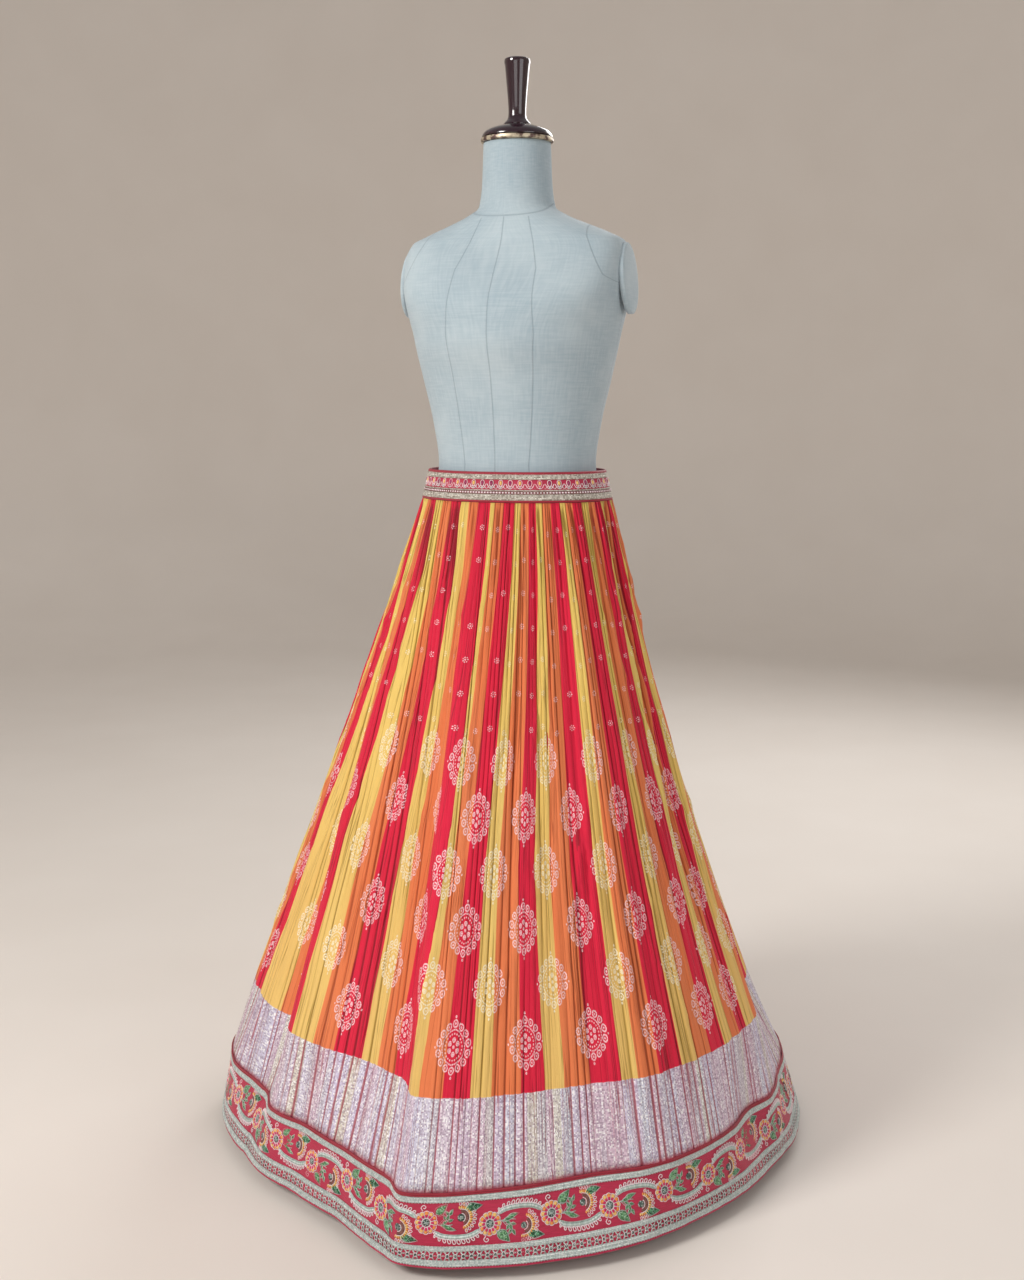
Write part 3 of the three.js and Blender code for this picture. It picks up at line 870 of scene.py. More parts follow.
def rawSilkLook(first, second):
    def look(g):
        u, v = g.uv()
        weave = g.group(weaveGroup, X=u, Y=v, Size=0.5)
        slub = g.noise(g.vector(u * 0.06, v * 0.9), 1.0, 3.0)
        blotch = g.noise(g.place(), 22.0, 3.0)
        colour = g.mix(g.step(0.3, 0.75, slub) * 0.7 + (blotch - 0.5) * 0.6, first, second)
        return {"Base Color": colour, "Roughness": 0.55, "Sheen Weight": 0.15,
                "Normal": g.bump(weave["Height"] + slub * 1.5 + blotch * 2.0, 0.45, 0.0008)}
    return look


def plainSilk(name, first, second, view):
    return makeMaterial(name, rawSilkLook(linear(*first), linear(*second)), linear(*view))


def metalBraid(name, first, second, dark, view, stitchLength):
    look = braidLook(linear(*first), linear(*second), linear(*dark), stitchLength)
    return makeMaterial(name, look, linear(*view))


crimson = plainSilk("crimson_silk_look", (164, 12, 54), (196, 30, 78), (184, 22, 66))
piping = plainSilk("maroon_piping_look", (140, 10, 38), (172, 24, 54), (156, 16, 46))
hemSilk = plainSilk("hem_piping_look", (168, 14, 60), (196, 34, 84), (186, 24, 72))
# each braid: its colour, its painted glint colour, its painted shade colour, view colour, stitch length
braidSilver = metalBraid("silver_braid_look", (196, 210, 207), (250, 255, 252), (124, 142, 142),
                         (188, 204, 200), 1.7)
braidGold = metalBraid("gold_braid_look", (168, 156, 142), (255, 251, 240), (96, 74, 68),
                       (200, 190, 164), 2.3)
threadTable = {  # material, look, its two colours, plain view colour, metal and roughness
    "silver": ("silver_thread", threadLook, (158, 176, 172), (214, 226, 220), (190, 204, 198), 0.5, 0.35),
    "white": ("white_thread", threadLook, (226, 206, 214), (250, 240, 240), (240, 226, 230), 0.1),
    "green": ("green_sequin", sequinLook, (34, 88, 56), (112, 184, 140), (70, 130, 92)),
    "light": ("light_green_thread", sequinLook, (84, 140, 92), (156, 206, 160), (116, 168, 122)),
    "orange": ("orange_thread", threadLook, (222, 118, 44), (244, 176, 92), (234, 148, 68), 0.0, 0.45),
    "yellow": ("yellow_thread", threadLook, (228, 172, 84), (246, 216, 140), (238, 196, 110), 0.05, 0.45),
    "pink": ("pink_thread", threadLook, (186, 10, 74), (226, 40, 120), (208, 26, 98), 0.0, 0.45),
    "brown": ("brown_thread", threadLook, (92, 50, 48), (142, 92, 84), (116, 70, 66), 0.1),
    "grey": ("grey_sequin", sequinLook, (70, 88, 82), (176, 190, 184), (110, 126, 120)),
    "bead": ("purple_bead", threadLook, (126, 18, 66), (176, 78, 120), (150, 50, 96), 0.05, 0.25),
}
threads = {key: makeMaterial(name, look(linear(*first), linear(*second), *finish), linear(*view))
           for key, (name, look, first, second, view, *finish) in threadTable.items()}
threadList = list(threads.values())
kinds = {name: i for i, name in enumerate(threads)}


# ---- border: cloth, braids and pipings
ringSamples = 1440
samples = np.arange(ringSamples) * stripeSets / ringSamples
borderBand = Band(clothRing(samples, levels["hem"]), clothRing(samples, levels["border"]), levels["hem"],
                  levels["border"], 1.3)
borderSettings = {
    "top": 108.1, "bottom": 21.9, "columns": 760, "upperBraid": (107.8, 100.4), "lowerBraid": (46.4, 40.4),
    "hemBraid": (29.3, 22.0), "braidRise": 1.35, "braidColumns": 2270, "cordColumns": 620, "scallop": 3.9,
    "pipings": [(111.5, 1.3, 0.7), (109.1, 1.3, 0.6)],
    "hemPiping": [(-2.4, 21.6), (-0.5, 21.6), (0.2, 20.8), (0.3, 19.6), (-0.2, 18.5), (-1.0, 18.0),
                  (-2.4, 18.0)],
    "units": 17, "firstUnit": 0.13, "unitWidth": 82.0, "middle": 73.5,
    "chain": (39.2, 30.2), "chainPitch": 10.2,
    "braids": {"upperBraid": ("border_braid_top", "border_braid_upper"),
               "lowerBraid": ("border_braid_low", "border_braid_lower"),
               "hemBraid": ("border_braid_hem", "hem_braid")},
}


def softProfile(top, bottom, out, under):
    edge = 0.7
    return [(under, top), (out - edge * 0.6, top), (out, top - edge),
            (out, bottom + edge), (out - edge * 0.6, bottom), (under, bottom)]


def braidProfile(top, bottom, rise, ridges):
    z = np.linspace(top, bottom, 4 * ridges + 1)
    lift = rise * (0.72 + 0.28 * np.sin(np.pi * ridges * (top - z) / (top - bottom)) ** 2)
    return [(-0.1, top)] + list(zip(lift, z)) + [(-0.1, bottom)]


# a wave gives how far a point of a swept outline moves outwards and up
def puckers(x, lift, z):
    low = (noise1(x / 37.0, 8) - 0.5) * 1.6 + (noise1(x / 13.0, 9) - 0.5) * 0.7
    return low * np.ones_like(z), np.zeros_like(x * z)


def scallops(side):
    def wave(x, lift, z):
        edge = np.maximum(0, np.sin(2 * np.pi * x / borderSettings["scallop"])) * 0.9
        middle = (borderSettings[side][0] + borderSettings[side][1]) / 2
        low, _ = puckers(x, lift, z)
        bumps = 0.35 * np.sin(2 * np.pi * (x / 1.95 + z / 3.0)) * (lift > 0.2)
        return low + bumps, -edge * (z < middle - 1) + 0.35 * edge * (z > middle + 1)
    return wave


def cordRound(z, radius, lift):
    a = 2 * np.pi * np.arange(8) / 8
    return [(lift + radius * math.cos(t), z - radius * math.sin(t)) for t in a]


def multiSweep(name, band, profiles, columns, materials, wave, kind):
    parts = Parts()
    for profile, index in zip(profiles, kind):
        parts.add(sweepBand(band, profile, columns, wave), index)
    return parts.build(name, materials)


def buildBorder():
    s = borderSettings
    cloth = softProfile(s["top"], s["bottom"], 0.0, -2.6)
    cords = [cordRound(z, radius, lift) for z, radius, lift in s["pipings"]]
    band = sweepPiece("border_cloth", borderBand, cloth, s["columns"], crimson, puckers)
    roll = multiSweep("border_piping_cords", borderBand, cords, s["cordColumns"], [piping], puckers, [0, 0])
    pieces = [show(band, "crimson_silk", *numbered("border_band", 4)),
              show(roll, "maroon_piping", *numbered("border_piping", 4))]
    for side, (name, node) in s["braids"].items():
        profile = braidProfile(*s[side], s["braidRise"], 2)
        piece = sweepPiece(name, borderBand, profile, s["braidColumns"], braidSilver, scallops(side))
        pieces.append(show(piece, "silver_braid", *numbered(node, 4)))
    edge = sweepPiece("hem_piping_cord", borderBand, s["hemPiping"], s["cordColumns"], hemSilk, puckers)
    return pieces + [show(edge, "crimson_silk", *numbered("hem_piping", 4))]


borderCloth, *borderTrims = buildBorder()
print("border")


# ---- border: embroidery
def spokes(add, T, angle, inner, outer, radius, kind, lift):
    add(cord, T([onCircle(inner, angle), onCircle(outer, angle)]), radius, kind, lift=lift)


def flower(add, T):
    for k in range(12):
        a = 30 * k
        add(pad, T(oval(onCircle(11.2, a), 3.2, 2.7, a, 8, -0.15)), 1.0, "orange" if k % 2 else "yellow")
        add(pad, T(oval(onCircle(8.6, a), 2.7, 1.75, a, 6)), 1.45, "pink")
        spokes(add, T, a + 15, 6.2, 13.2, 0.42, "white", 0.5)
    t = np.radians(np.arange(0, 360, 7.5))
    r = 13.4 + 1.3 * np.abs(np.sin(6 * t + math.pi / 2))
    add(cord, T(np.stack([r * np.cos(t), r * np.sin(t)], -1)), 0.5, "white", closed=True, lift=0.2)
    add(pad, T(oval((0, 0), 5.2, 5.2, 0, 12)), 1.1, "grey")
    add(cord, T(oval((0, 0), 5.7, 5.7, 0, 14)), 0.6, "white", closed=True, lift=0.3)
    for k in range(3):
        spokes(add, T, 60 * k + 20, -3.6, 3.6, 0.35, "silver", 1.0)


def edgedLeaf(add, T, centre, long, wide, turn, kind, count=10, veins=0, bend=0.0):
    height = 0.9
    add(pad, T(leafShape(centre, long, wide, turn, count, bend)), height, kind)
    add(cord, T(leafShape(centre, long + 0.5, wide + 0.5, turn, count, bend)), 0.45, "silver", closed=True)
    for k in range(veins):
        start = -long * 0.75 + 1.5 * long * k / veins
        for side in (-1, 1):
            x, y = np.array([start, start + long * 0.28]), np.array([0, side * wide * 0.7])
            add(cord, T(turnAndMove(x, y, centre, turn)), 0.3, "silver", lift=height * 0.7)


def fan(add, T, centre, low, high, size):
    add(pad, T(oval(centre, 5.4 * size, 5.4 * size, 0, 12)), 1.3, "grey")
    add(cord, T(arc(centre, 6.0 * size, low + 10, high - 10, 9)), 0.6, "white", lift=0.2)
    wide = 3.0 * size * np.sin(np.linspace(0.25, np.pi - 0.25, 12)) ** 0.7
    add(cord, T(arc(centre, 9.0 * size, low, high, 12)), wide, "brown", flat=0.3, lift=0.2)
    add(cord, T(arc(centre, 12.0 * size, low - 4, high + 4, 14)), 0.5, "white", lift=0.3)
    spread, rays, loops = high - low + 12, 15, 12
    for k in range(rays):
        angle = low - 6 + spread * k / (rays - 1)
        inner = 12.3 * size
        outer = inner + 4.8 * size * (0.75 + 0.25 * math.sin(math.pi * (k + 0.5) / rays))
        path = [onCircle(r, angle, centre) for r in (inner, (inner + outer) / 2, outer)]
        add(cord, T(path), np.array([0.9, 1.3, 0.7]), "yellow" if k % 3 else "orange", flat=0.6, lift=0.15)
    for k in range(loops):
        angle = low - 6 + spread * (k + 0.5) / loops
        fall = 0.8 + 0.2 * math.sin(math.pi * (k + 0.5) / loops)
        spot = onCircle(17.0 * size + 2.4 * fall, angle, centre)
        add(cord, T(oval(spot, 2.7 * fall, 1.55, angle, 7)), 0.52, "white", closed=True, lift=0.1)
        centreKind = "pink" if k % 2 else "orange"
        add(pad, T(oval(spot, 1.7 * fall, 0.8, angle, 5)), 0.5, centreKind, rings=((1.0, 0.5),))


def vine(add, T, path, side, wide):
    # two cords with a silver core between them and leaflets along one side
    count = len(path)
    run = np.gradient(path, axis=0)
    run /= np.hypot(*run.T)[:, None]
    across = np.stack([-run[:, 1], run[:, 0]], -1) * side
    taper = np.clip(np.minimum(np.arange(count), np.arange(count)[::-1]) / 3.0 + 0.35, 0, 1)
    add(cord, T(path), wide * taper, "silver", flat=0.4)
    add(cord, T(path), 0.42, "white", lift=0.95)
    add(cord, T(path + across * (wide * taper)[:, None]), 0.62, "white", lift=0.25)
    add(cord, T(path - across * (wide * taper)[:, None]), 0.62, "silver", lift=0.25)
    length = pathLength(path)
    leaves = int(length[-1] / 5.6)
    for k in range(leaves):
        at = length[-1] * (k + 0.6) / leaves
        here, out, along = (np.array([np.interp(at, length, row) for row in rows.T])
                            for rows in (path, across, run))
        way = out * 0.9 + along * 0.55
        turn = math.degrees(math.atan2(way[1], way[0]))
        size = math.sin(math.pi * (k + 0.9) / (leaves + 0.8)) ** 0.5
        spot = here + out * (wide * 0.9) + way * 2.9 * size
        add(cord, T(oval(spot, 3.3 * size, 1.9 * size, turn, 8, -0.2)), 0.65, "white", closed=True, lift=0.5)


bigLeaves = [  # centre, half length, half width, turn, thread, and more
    ((18.5, 15.5), 10.5, 5.4, 38, "light", {"veins": 2, "bend": 1.2}),
    ((59, 17.5), 12.5, 5.0, 8, "green", {"veins": 2}),
]
smallLeaves = [((27.5, 6.5), 4.2, 1.7, 68), ((31.5, 12.5), 4.0, 1.7, 62), ((23.5, 6.0), 3.6, 1.5, 120),
               ((26.5, 11.5), 3.4, 1.5, 128), ((24.0, 0.5), 3.8, 1.5, 30), ((31.0, 2.6), 3.4, 1.4, 15)]
lowLeaves = [((29.5, -7.2), 9.0, 2.3, -20, 1.0), ((24.5, -4.2), 7.5, 1.8, -14, 0.8)]
tendrils = [  # points, count, radius, thread
    ([(15, -3), (21, 3), (26.5, 8.5), (32, 15)], 7, 0.4, "silver"),
    ([(-5, 14.5), (-7.5, 18.5), (-4.2, 21.6), (-1.2, 19.6), (-2.6, 17.4), (-4.4, 18.2)], 12, 0.6, "white"),
    ([(14.5, -2.5), (24, -3.8), (34, -2.5)], 7, 0.55, "silver"),
]
vinePath = [(10.0, -11.0), (17, -15.4), (28, -17.6), (41, -18.2), (54, -17.2), (63, -14.2), (70, -10)]


def adder(parts):
    def add(shape, path, size, kind, **words):
        parts.add(shape(borderBand, path, size, **words), kinds[kind])
    return add


def embroider():
    # a flower, its leaves, a fan and a vine, turned over at every other place
    s = borderSettings
    flowers, vines = Parts(), Parts()
    addFlower, addVine = adder(flowers), adder(vines)
    unit = borderBand.length / (2 * s["units"])
    grow = unit / s["unitWidth"]

    for n in range(2 * s["units"]):
        up = -1 if n % 2 == 0 else 1
        x, z = unit * (n + s["firstUnit"]), s["middle"]
        wobble = (noise1(np.array([n * 3.7]), 12)[0] - 0.5) * 1.6

        def T(path):
            path = np.asarray(path, float)
            return np.stack([x + path[:, 0] * grow, z + up * (path[:, 1] + 2 + wobble * 0.4)], -1)
        flower(addFlower, T)
        for centre, long, wide, turn, kind, words in bigLeaves:
            edgedLeaf(addFlower, T, centre, long, wide, turn + wobble * (kind == "green"), kind, **words)
        for centre, long, wide, turn in smallLeaves:
            edgedLeaf(addFlower, T, centre, long, wide, turn, "light", 6)
        for centre, long, wide, turn, bend in lowLeaves:
            edgedLeaf(addFlower, T, centre, long, wide, turn, "light", bend=bend)
        fan(addFlower, T, (44.5, 5.5), -66, 96, 0.9)
        for points, count, radius, kind in tendrils:
            addVine(cord, T(curve(points, count)), radius, kind)
        vine(addVine, T, curve(vinePath, 20), -1, 2.8)
    return flowers.build("border_flowers", threadList), vines.build("border_vines", threadList)


def chain():
    # crossed links with a sequin in each and a slanted stitch between them
    parts = Parts()
    add = adder(parts)
    middle = sum(borderSettings["chain"]) / 2
    count = int(borderBand.length / borderSettings["chainPitch"])
    pitch = borderBand.length / count
    for n in range(count):
        x = pitch * n
        for up in (-1, 1):
            path = [(x - 3.4, middle - up * 5.0), (x - 1.2, middle - up * 1.6), (x + 1.2, middle + up * 1.6),
                    (x + 3.4, middle + up * 5.0)]
            add(cord, path, 0.95, "silver", flat=0.8, lift=0.1)
        add(pad, oval((x, middle), 2.3, 2.3, 0, 8), 1.3, "grey", lift=0.3)
        add(cord, oval((x, middle), 2.5, 2.5, 0, 8), 0.45, "white", closed=True, lift=0.7)
        between = x + pitch / 2
        for up in (-1, 1):
            add(cord, [(between - 1.6, middle + up * 0.9), (between + 1.6, middle - up * 0.9)], 0.5, "silver")
    return parts.build("hem_chain", threadList)


stitched = [show(piece, "silver_braid") for piece in (*embroider(), chain())]
borderTrims + stitched
print("embroidery", *[len(piece.data.polygons) for piece in stitched])


# ---- waistband
waistSettings = {
    "cloth": (1013.6, 979.2), "upperBraid": (1014.5, 1007.5), "pitch": 13.8,
    "columns": 300, "braidColumns": 600,
    "upperRoll": [(-3.1, 1017.4), (-2.4, 1018), (-0.6, 1018), (0.6, 1017.4), (1.0, 1016.2), (0.9, 1014.6),
                  (0.1, 1013.2), (-3.1, 1013.2)],
    "lowerRoll": [(-3.1, 979.6), (0.1, 979.6), (0.9, 978.2), (1.0, 976.6), (0.4, 975.3), (-0.8, 975),
                  (-3.1, 975)],
    "lowerRows": [(993.2, 991.4, 1.35, 0), (991.6, 986.6, 0.6, 1), (986.8, 978.2, 1.35, 0)],
    "beadRow": 989.1, "beadPitch": 4.4,
}
lotusPetals = [([(0, 994.6), (3.2, 996.0), (5.0, 998.8), (6.2, 1001.4)], 0.55, 0.2),
               ([(0.5, 996.4), (2.4, 998.6), (4.4, 997.0), (6.6, 994.4)], 0.42, 0.1)]
turns = np.arange(720) * 0.5
waistBand = Band(ellipse(waistSize["bottom"], turns), ellipse(waistSize["top"], turns), levels["waistBottom"],
                 levels["waistTop"], 1.5)


def waistWave(x, lift, z):
    return (noise1(x / 24.0, 21) - 0.5) * 1.4 * np.ones_like(z), np.zeros_like(x * z)


def buildWaist():
    s = waistSettings
    profiles = [softProfile(*s["cloth"], 0.0, -3.0), s["upperRoll"], s["lowerRoll"]]
    looks = [crimson, piping]
    return multiSweep("waistband_cloth", waistBand, profiles, s["columns"], looks, waistWave, [0, 1, 1])


def buildUpperBraid():
    s = waistSettings
    profile = braidProfile(*s["upperBraid"], 1.35, 2)
    return sweepPiece("waist_braid_top", waistBand, profile, s["braidColumns"], braidGold, waistWave)


def buildLowerBraid():
    # two gold rows and a brown one between them, with white and purple beads along it
    s = waistSettings
    parts = Parts()
    for top, bottom, rise, kind in s["lowerRows"]:
        profile = braidProfile(top, bottom, rise, 1)
        parts.add(sweepBand(waistBand, profile, s["braidColumns"], waistWave), kind)
    count = int(waistBand.length / s["beadPitch"])
    for n in range(count):
        x = waistBand.length * n / count
        between = x + waistBand.length / count / 2
        parts.add(pad(waistBand, oval((x, s["beadRow"]), 1.8, 1.4, 0, 6), 0.9, lift=0.5), 2)
        parts.add(pad(waistBand, oval((between, s["beadRow"]), 0.8, 0.8, 0, 5), 0.8, lift=0.5), 3)
    return parts.build("waist_braid_low", [braidGold, threads["brown"], threads["white"], threads["bead"]])


def buildLotus():
    parts = Parts()

    def put(shape, kind):
        parts.add(shape, kinds[kind])
    count = int(waistBand.length / waistSettings["pitch"])
    pitch = waistBand.length / count
    for n in range(count):
        x = pitch * n
        put(cord(waistBand, oval((x, 1002.2), 4.5, 3.0, 90, 12, -0.15), 0.5, closed=True, lift=0.2), "white")
        put(pad(waistBand, oval((x, 1002.4), 3.2, 2.0, 90, 8), 1.6), "yellow" if n % 2 else "bead")
        for side in (-1, 1):
            for petal, radius, lift in lotusPetals:
                path = curve([(x + side * out, z) for out, z in petal], 7)
                put(cord(waistBand, path, radius, lift=lift), "white")
        put(pad(waistBand, oval((x, 995.6), 1.7, 1.5, 0, 6), 1.3), "silver")
    return parts.build("waist_lotus", threadList)


waistCloth = show(buildWaist(), "crimson_silk", "waistband_front", "waistband_back")
waistTrims = [show(buildUpperBraid(), "silver_braid", "waist_braid_upper_front", "waist_braid_upper_back"),
              show(buildLowerBraid(), "silver_braid", "waist_braid_lower_front", "waist_braid_lower_back"),
              show(buildLotus(), "silver_braid")]
print("waistband")


# ---- dress form
formSettings = {
    # height, half width, depth in front, depth behind, squareness
    "rows": [[800, 147, 104, 112, 2.2], [850, 150, 108, 116, 2.2], [915, 142, 103, 110, 2.2],
             [980, 125, 95, 97, 2.1], [1028, 118.5, 92, 91, 2.1], [1085, 126, 97, 96, 2.1],
             [1150, 141, 109, 104, 2.1], [1210, 154, 125, 108, 2.1], [1250, 161, 121, 110, 2.5],
             [1290, 166, 100, 108, 2.9], [1322, 166, 78, 97, 3], [1344, 158, 65, 83, 2.8],
             [1356, 136, 61, 74, 2.3], [1368, 106, 57, 66, 2.2], [1380, 77, 54, 60, 2.1],
             [1394, 56, 51, 55, 2], [1425, 51, 49, 51, 2], [1483, 48.5, 48, 48.5, 2]],
    "columns": 128, "girthRadius": 125, "bottom": 800, "top": 1483,
    "spans": [(800, 1300, 56), (1300, 1400, 38), (1400, 1483, 18)], "closing": (0.02, 0.9),
    "plateUp": 50.0, "plateAlong": 38.0, "plateOut": 167.2, "plateHeight": 1290, "plateColumns": 72,
    "plateRings": [(0.02, 5.2), (0.55, 5.1), (0.86, 4.6), (0.96, 3.9),
                   (1.0, 2.6), (1.0, -3.0), (0.9, -4.0), (0.02, -4.0)],
}
seamNames = ["centreSeam", "princessSeam", "sideSeam", "neckSeam", "armSeam"]


def formRing(z, columns):
    rows = np.array(formSettings["rows"], float)
    half, front, back, power = (monotone(rows[:, 0], rows[:, i], np.array([z]))[0] for i in range(1, 5))
    t = 2 * np.pi * np.arange(columns) / columns
    sn, cs = np.sin(t), np.cos(t)
    depth = np.where(cs > 0, front, back)
    x = half * np.sign(sn) * np.abs(sn) ** (2 / power)
    y = -depth * np.sign(cs) * np.abs(cs) ** (2 / power)
    return np.stack([x, y], -1)


def formSeams(x, y, z):
    # signed distances in millimetres from the seams of the cover, kept far off where none is sewn
    neck = 1397 + 0.36 * np.minimum(y, 0) - 0.05 * np.maximum(y, 0)
    body = z < neck - 1

    def sewn(distance, where):
        return np.where(where, distance, np.where(distance < 0, -99.0, 99.0))
    princess = np.interp(z, [800, 1028, 1210, 1300, 1380], [62, 49, 66, 61, 34])
    armhole = np.interp(z, [1230, 1290, 1345, 1372], [250, 150, 122, 112])
    return dict(zip(seamNames, (sewn(x, body | (y > 0)), sewn(np.abs(x) - princess, body),
                                sewn(y - 2, z < 1340), z - neck, sewn(np.abs(x) - armhole, z > 1225))))


def fabricLook(g):
    u, z = g.uv()
    weave = g.group(weaveGroup, X=u * 1.0, Y=z * 1.0, Size=0.9)
    line = g.larger(*[g.within(g.attribute(name), 0.9, 0.5) for name in seamNames])
    blotch = g.noise(g.place(), 9.0, 4.0)
    colour = g.mix(g.step(0.35, 0.7, blotch), linear(154, 172, 182), linear(170, 186, 194))
    colour = g.mix(g.step(0.35, 0.7, weave["Slub"]) * 0.35, colour, linear(196, 206, 210))
    # darker along the seams: the stitching, with painted shade standing in for the seam grooves
    colour = g.mix(line * 0.4, colour, linear(112, 126, 138))
    return {"Base Color": colour, "Roughness": 0.92, "Sheen Weight": 0.2,
            "Normal": g.bump(weave["Height"] * 0.6 - line * 1.0, 0.35, 0.0012)}


fabric = makeMaterial("form_fabric", fabricLook, linear(172, 188, 197))


def loftFaces(columns, size, flip=False):
    # the sides and the two end caps of stacked rings
    faces = gridFaces(columns, size, down=False, flip=flip)
    first = np.arange(columns) * size
    caps = [first, (first + size - 1)[::-1]]
    return faces, [cap[::-1] for cap in caps] if flip else caps


def level(ring, z, size=1.0):
    return np.concatenate([ring * size, np.full((len(ring), 1), float(z))], 1)


def buildForm():
    s = formSettings
    columns = s["columns"]
    heights = np.unique(np.concatenate([np.linspace(*span) for span in s["spans"]]))
    rings = [level(formRing(z, columns), z) for z in heights[::-1]]
    top, bottom = rings[0][:, :2], rings[-1][:, :2]
    rings = [*[level(top, s["top"], size) for size in s["closing"]], *rings,
             *[level(bottom, s["bottom"], size) for size in s["closing"][::-1]]]
    points = np.stack(rings, 1).reshape(-1, 3)
    faces, caps = loftFaces(columns, len(rings))
    column = faces[:, :1] // len(rings)
    step = 2 * np.pi * s["girthRadius"] / columns
    u = np.concatenate([column, column, column + 1, column + 1], 1) * step
    uv = np.stack([u, points[faces][..., 2]], -1).reshape(-1, 2)
    uv = np.concatenate([uv, points[caps[0]][:, :2], points[caps[1]][:, :2]])
    return addMesh("dress_form", points, list(faces) + caps, uv, [fabric], attributes=formSeams(*points.T))


def armPlate(name, side):
    s = formSettings
    t = 2 * np.pi * np.arange(s["plateColumns"]) / s["plateColumns"] * side
    rings = []
    for size, out in s["plateRings"]:
        y, z = s["plateAlong"] * size * np.sin(t) + 4, s["plateUp"] * size * np.cos(t)
        x = (s["plateOut"] + out - 4.0 * z / s["plateUp"]) * side
        rings.append(np.stack([x, y, s["plateHeight"] + z], -1))
    points = np.stack(rings, 1).reshape(-1, 3)
    faces, caps = loftFaces(len(t), len(rings))
    return addMesh(name, points, list(faces) + caps, points[:, 1:], [fabric],
                   attributes={name: np.full(len(points), 99.0) for name in seamNames})


def lathe(name, outline, columns, material):
    # outline: (radius, height) from the axis at the bottom to the axis at the top
    turn = 2 * np.pi * np.arange(columns) / columns
    circle = np.stack([np.sin(turn), -np.cos(turn)], -1)
    points = np.stack([level(circle * radius, z) for radius, z in outline], 1).reshape(-1, 3)
    faces, caps = loftFaces(columns, len(outline), flip=True)
    uv = np.stack([np.arctan2(points[:, 0], -points[:, 1]) * 30, points[:, 2]], -1)
    piece = addMesh(name, points, list(faces) + caps, uv, [material])
    piece.data.set_sharp_from_angle(angle=math.radians(32))
    return piece


def lacquerLook(g):
    spot = g.noise(g.place(), 60.0, 3.0)
    colour = g.mix(g.step(0.62, 0.78, spot) * 0.35, linear(34, 6, 22), linear(74, 22, 40))
    return {"Base Color": colour, "Roughness": 0.12 + spot * 0.1, "Coat Weight": 0.8, "Coat Roughness": 0.06}


def rimLook(g):
    spot = g.noise(g.place(), 95.0, 4.0)
    colour = g.mix(g.step(0.42, 0.6, spot), linear(196, 184, 160), linear(92, 70, 66))
    return {"Base Color": colour, "Roughness": 0.42, "Metallic": 0.55, "Normal": g.bump(spot, 0.5, 0.0008)}


def steelLook(g):
    spot = g.noise(g.place(), 25.0, 4.0)
    colour = g.mix(spot, linear(20, 20, 23), linear(34, 34, 38))
    return {"Base Color": colour, "Roughness": 0.34 + spot * 0.12, "Metallic": 0.3,
            "Normal": g.bump(g.noise(g.place(), 900.0, 2.0), 0.08, 0.0004)}


lacquer = makeMaterial("lacquer_look", lacquerLook, linear(40, 8, 26))
capRim = makeMaterial("cap_rim_look", rimLook, linear(190, 186, 176))
steel = makeMaterial("stand_look", steelLook, linear(28, 28, 32))

turned = {  # CAD node, slot, material, columns, outline
    "form_rim": ("form_cap_rim", "cap_rim", capRim, 72,
                 [(0.5, 1483.4), (48, 1483.4), (51.2, 1483.8), (52.4, 1485.2), (52.6, 1487.2), (52.0, 1489.4),
                  (49, 1490.3), (0.5, 1490.3)]),
    "form_cap": ("form_neck_cap", "lacquer", lacquer, 72,
                 [(0.5, 1490.6), (49.5, 1490.6), (50.8, 1491.3), (50.9, 1492.6), (49.6, 1495.6), (47, 1498.6),
                  (43, 1501.2), (38, 1503.4), (32, 1505.4), (26, 1507), (20, 1508.2), (0.5, 1508.2)]),
    "form_knob": ("form_finial", "lacquer", lacquer, 64,
                  [(0.5, 1508.5), (19.6, 1508.5), (19.9, 1509.6), (18.6, 1511.6), (16.4, 1513.6),
                   (14.4, 1516), (13.2, 1519), (12.7, 1523), (12.7, 1530), (13.4, 1542), (14.5, 1555),
                   (15.6, 1567), (16.7, 1579), (17.7, 1590), (18.5, 1593), (18.7, 1596), (18.0, 1598.6),
                   (16.2, 1599.8), (0.5, 1600)]),
    "stand_tube": ("stand_pole", "stand_steel", steel, 48,
                   [(0.5, 15.2), (24, 15.2), (25.5, 16), (25.5, 30), (24, 31.6), (17.4, 31.8), (16, 32.6),
                    (16, 799.5), (0.5, 799.5)]),
    "stand_disc": ("stand_base", "stand_steel", steel, 128,
                   [(0.5, 0), (211, 0), (213.6, 0.8), (215, 2.8), (215, 7.6), (213.9, 10.4), (211.4, 12.6),
                    (206, 14), (0.5, 15)]),
}
show(buildForm(), "form_cloth", "form_torso")
show(armPlate("form_arm_plate_l", -1), "form_cloth", "form_arm_plate_left")
show(armPlate("form_arm_plate_r", 1), "form_cloth", "form_arm_plate_right")
for name, (node, slotName, material, columns, outline) in turned.items():
    show(lathe(name, outline, columns, material), slotName, node)
print("form and stand")


# ---- floor, backdrop and lights
stageSettings = {
    "floor": linear(226, 218, 210), "sky": (0.92, 0.9, 0.88, 1.0), "skyStrength": 0.3,
    "columns": 64, "gap": 0.0006,
    "rings": [(0.05, 0), (1.2, 0), (2.4, 0), (3.6, 0), (4.6, 0), (5.2, 0.12), (5.7, 0.5), (5.95, 1.1),
              (6, 2.0), (6, 5.0)],
}


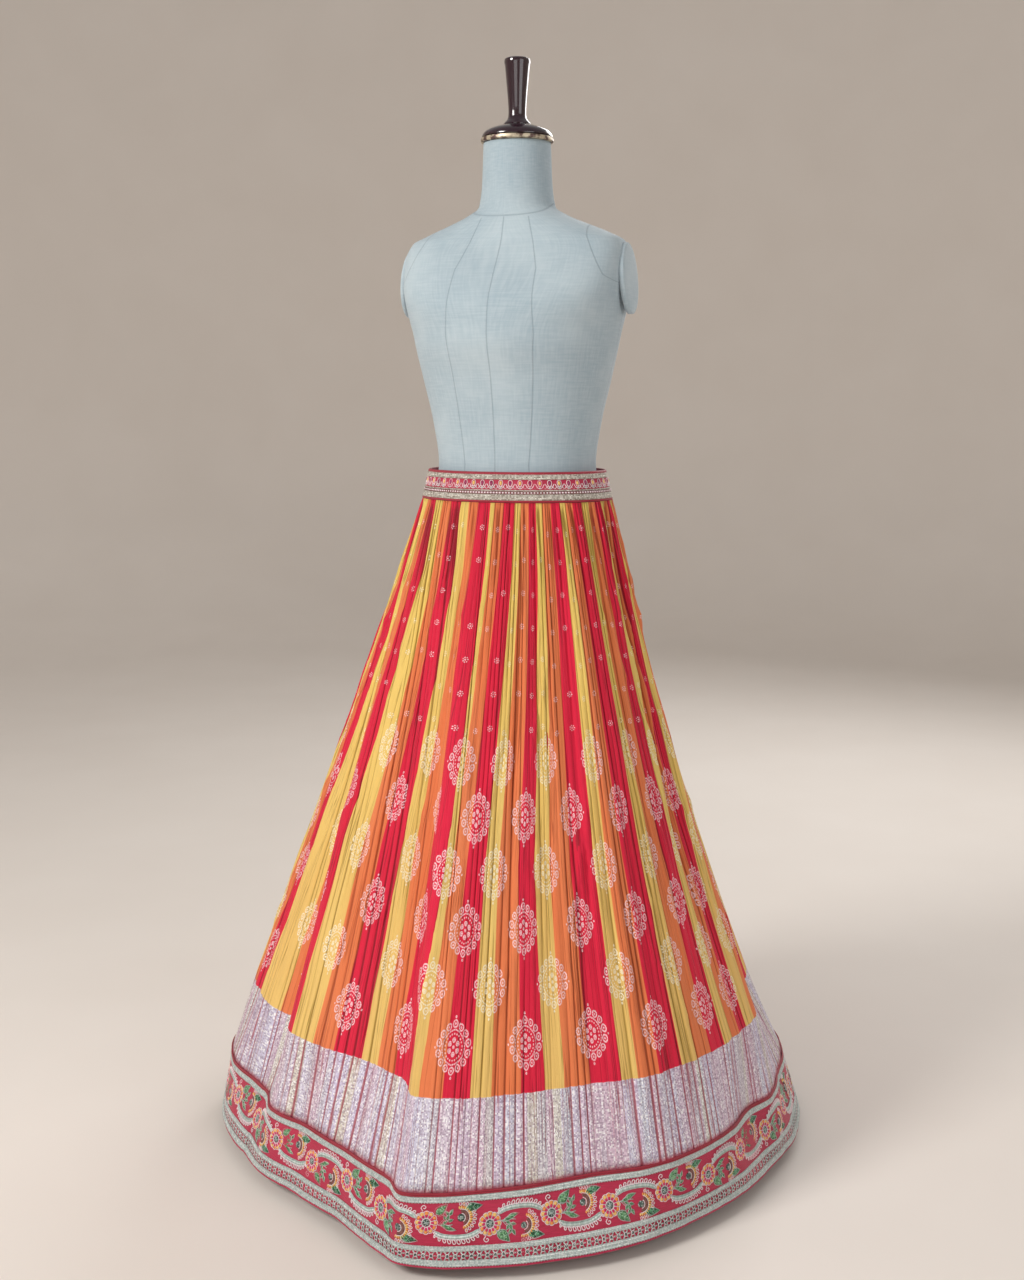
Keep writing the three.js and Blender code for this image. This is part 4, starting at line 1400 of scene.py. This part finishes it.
def floorLook(g):
    colour = g.mix(g.noise(g.place(), 3.0, 2.0), stageSettings["floor"], linear(232, 225, 218))
    return {"Base Color": colour, "Roughness": 0.8}


def buildFloor():
    # a disc that curves up into a backdrop all round, in metres
    rings, columns = stageSettings["rings"], stageSettings["columns"]
    turn = 2 * np.pi * np.arange(columns) / columns
    circle = np.stack([np.sin(turn), -np.cos(turn)], -1)
    points = np.concatenate([level(circle, z - stageSettings["gap"], radius) for radius, z in rings])
    faces = gridFaces(len(rings), columns, around=False, flip=True)
    look = makeMaterial("floor_look", floorLook, stageSettings["floor"])
    return addMesh("floor", points * 1000, list(faces) + [np.arange(columns)], None, [look])


def addLight(name, place, aim, size, power, colour=(1, 1, 1)):
    data = bpy.data.lights.new(name, "AREA")
    data.shape, data.size, data.size_y = "RECTANGLE", size[0], size[1]
    data.energy, data.color = power, colour
    light = bpy.data.objects.new(name, data)
    light.location = place
    run = np.array(aim, float) - np.array(place, float)
    flat = math.hypot(run[0], run[1])
    light.rotation_euler = (math.atan2(flat, -run[2]), 0, math.atan2(-run[0], run[1]))
    bpy.context.scene.collection.objects.link(light)
    return light


floor = buildFloor()
lamps = [addLight("key", (-1.8, -2.7, 2.7), (0, 0, 0.8), (1.1, 1.1), 72, (1.0, 0.98, 0.95)),
         addLight("fill", (2.7, -1.6, 1.6), (0, 0, 0.7), (1.8, 2.0), 15, (0.95, 0.97, 1.0)),
         addLight("back", (0.6, 2.9, 2.4), (0, 0, 0.8), (2.2, 1.6), 34, (1, 1, 1)),
         addLight("low", (0.3, -4.3, 1.2), (0, 0, 0.2), (2.4, 1.6), 14, (1, 1, 1))]
world = bpy.data.worlds.new("studio")
world.use_nodes = True
world.node_tree.nodes["Background"].inputs["Color"].default_value = stageSettings["sky"]
world.node_tree.nodes["Background"].inputs["Strength"].default_value = stageSettings["skyStrength"]
bpy.context.scene.world = world
bpy.context.scene.view_settings.view_transform = "Standard"
bpy.context.scene.view_settings.exposure = 0.42
print("stage")
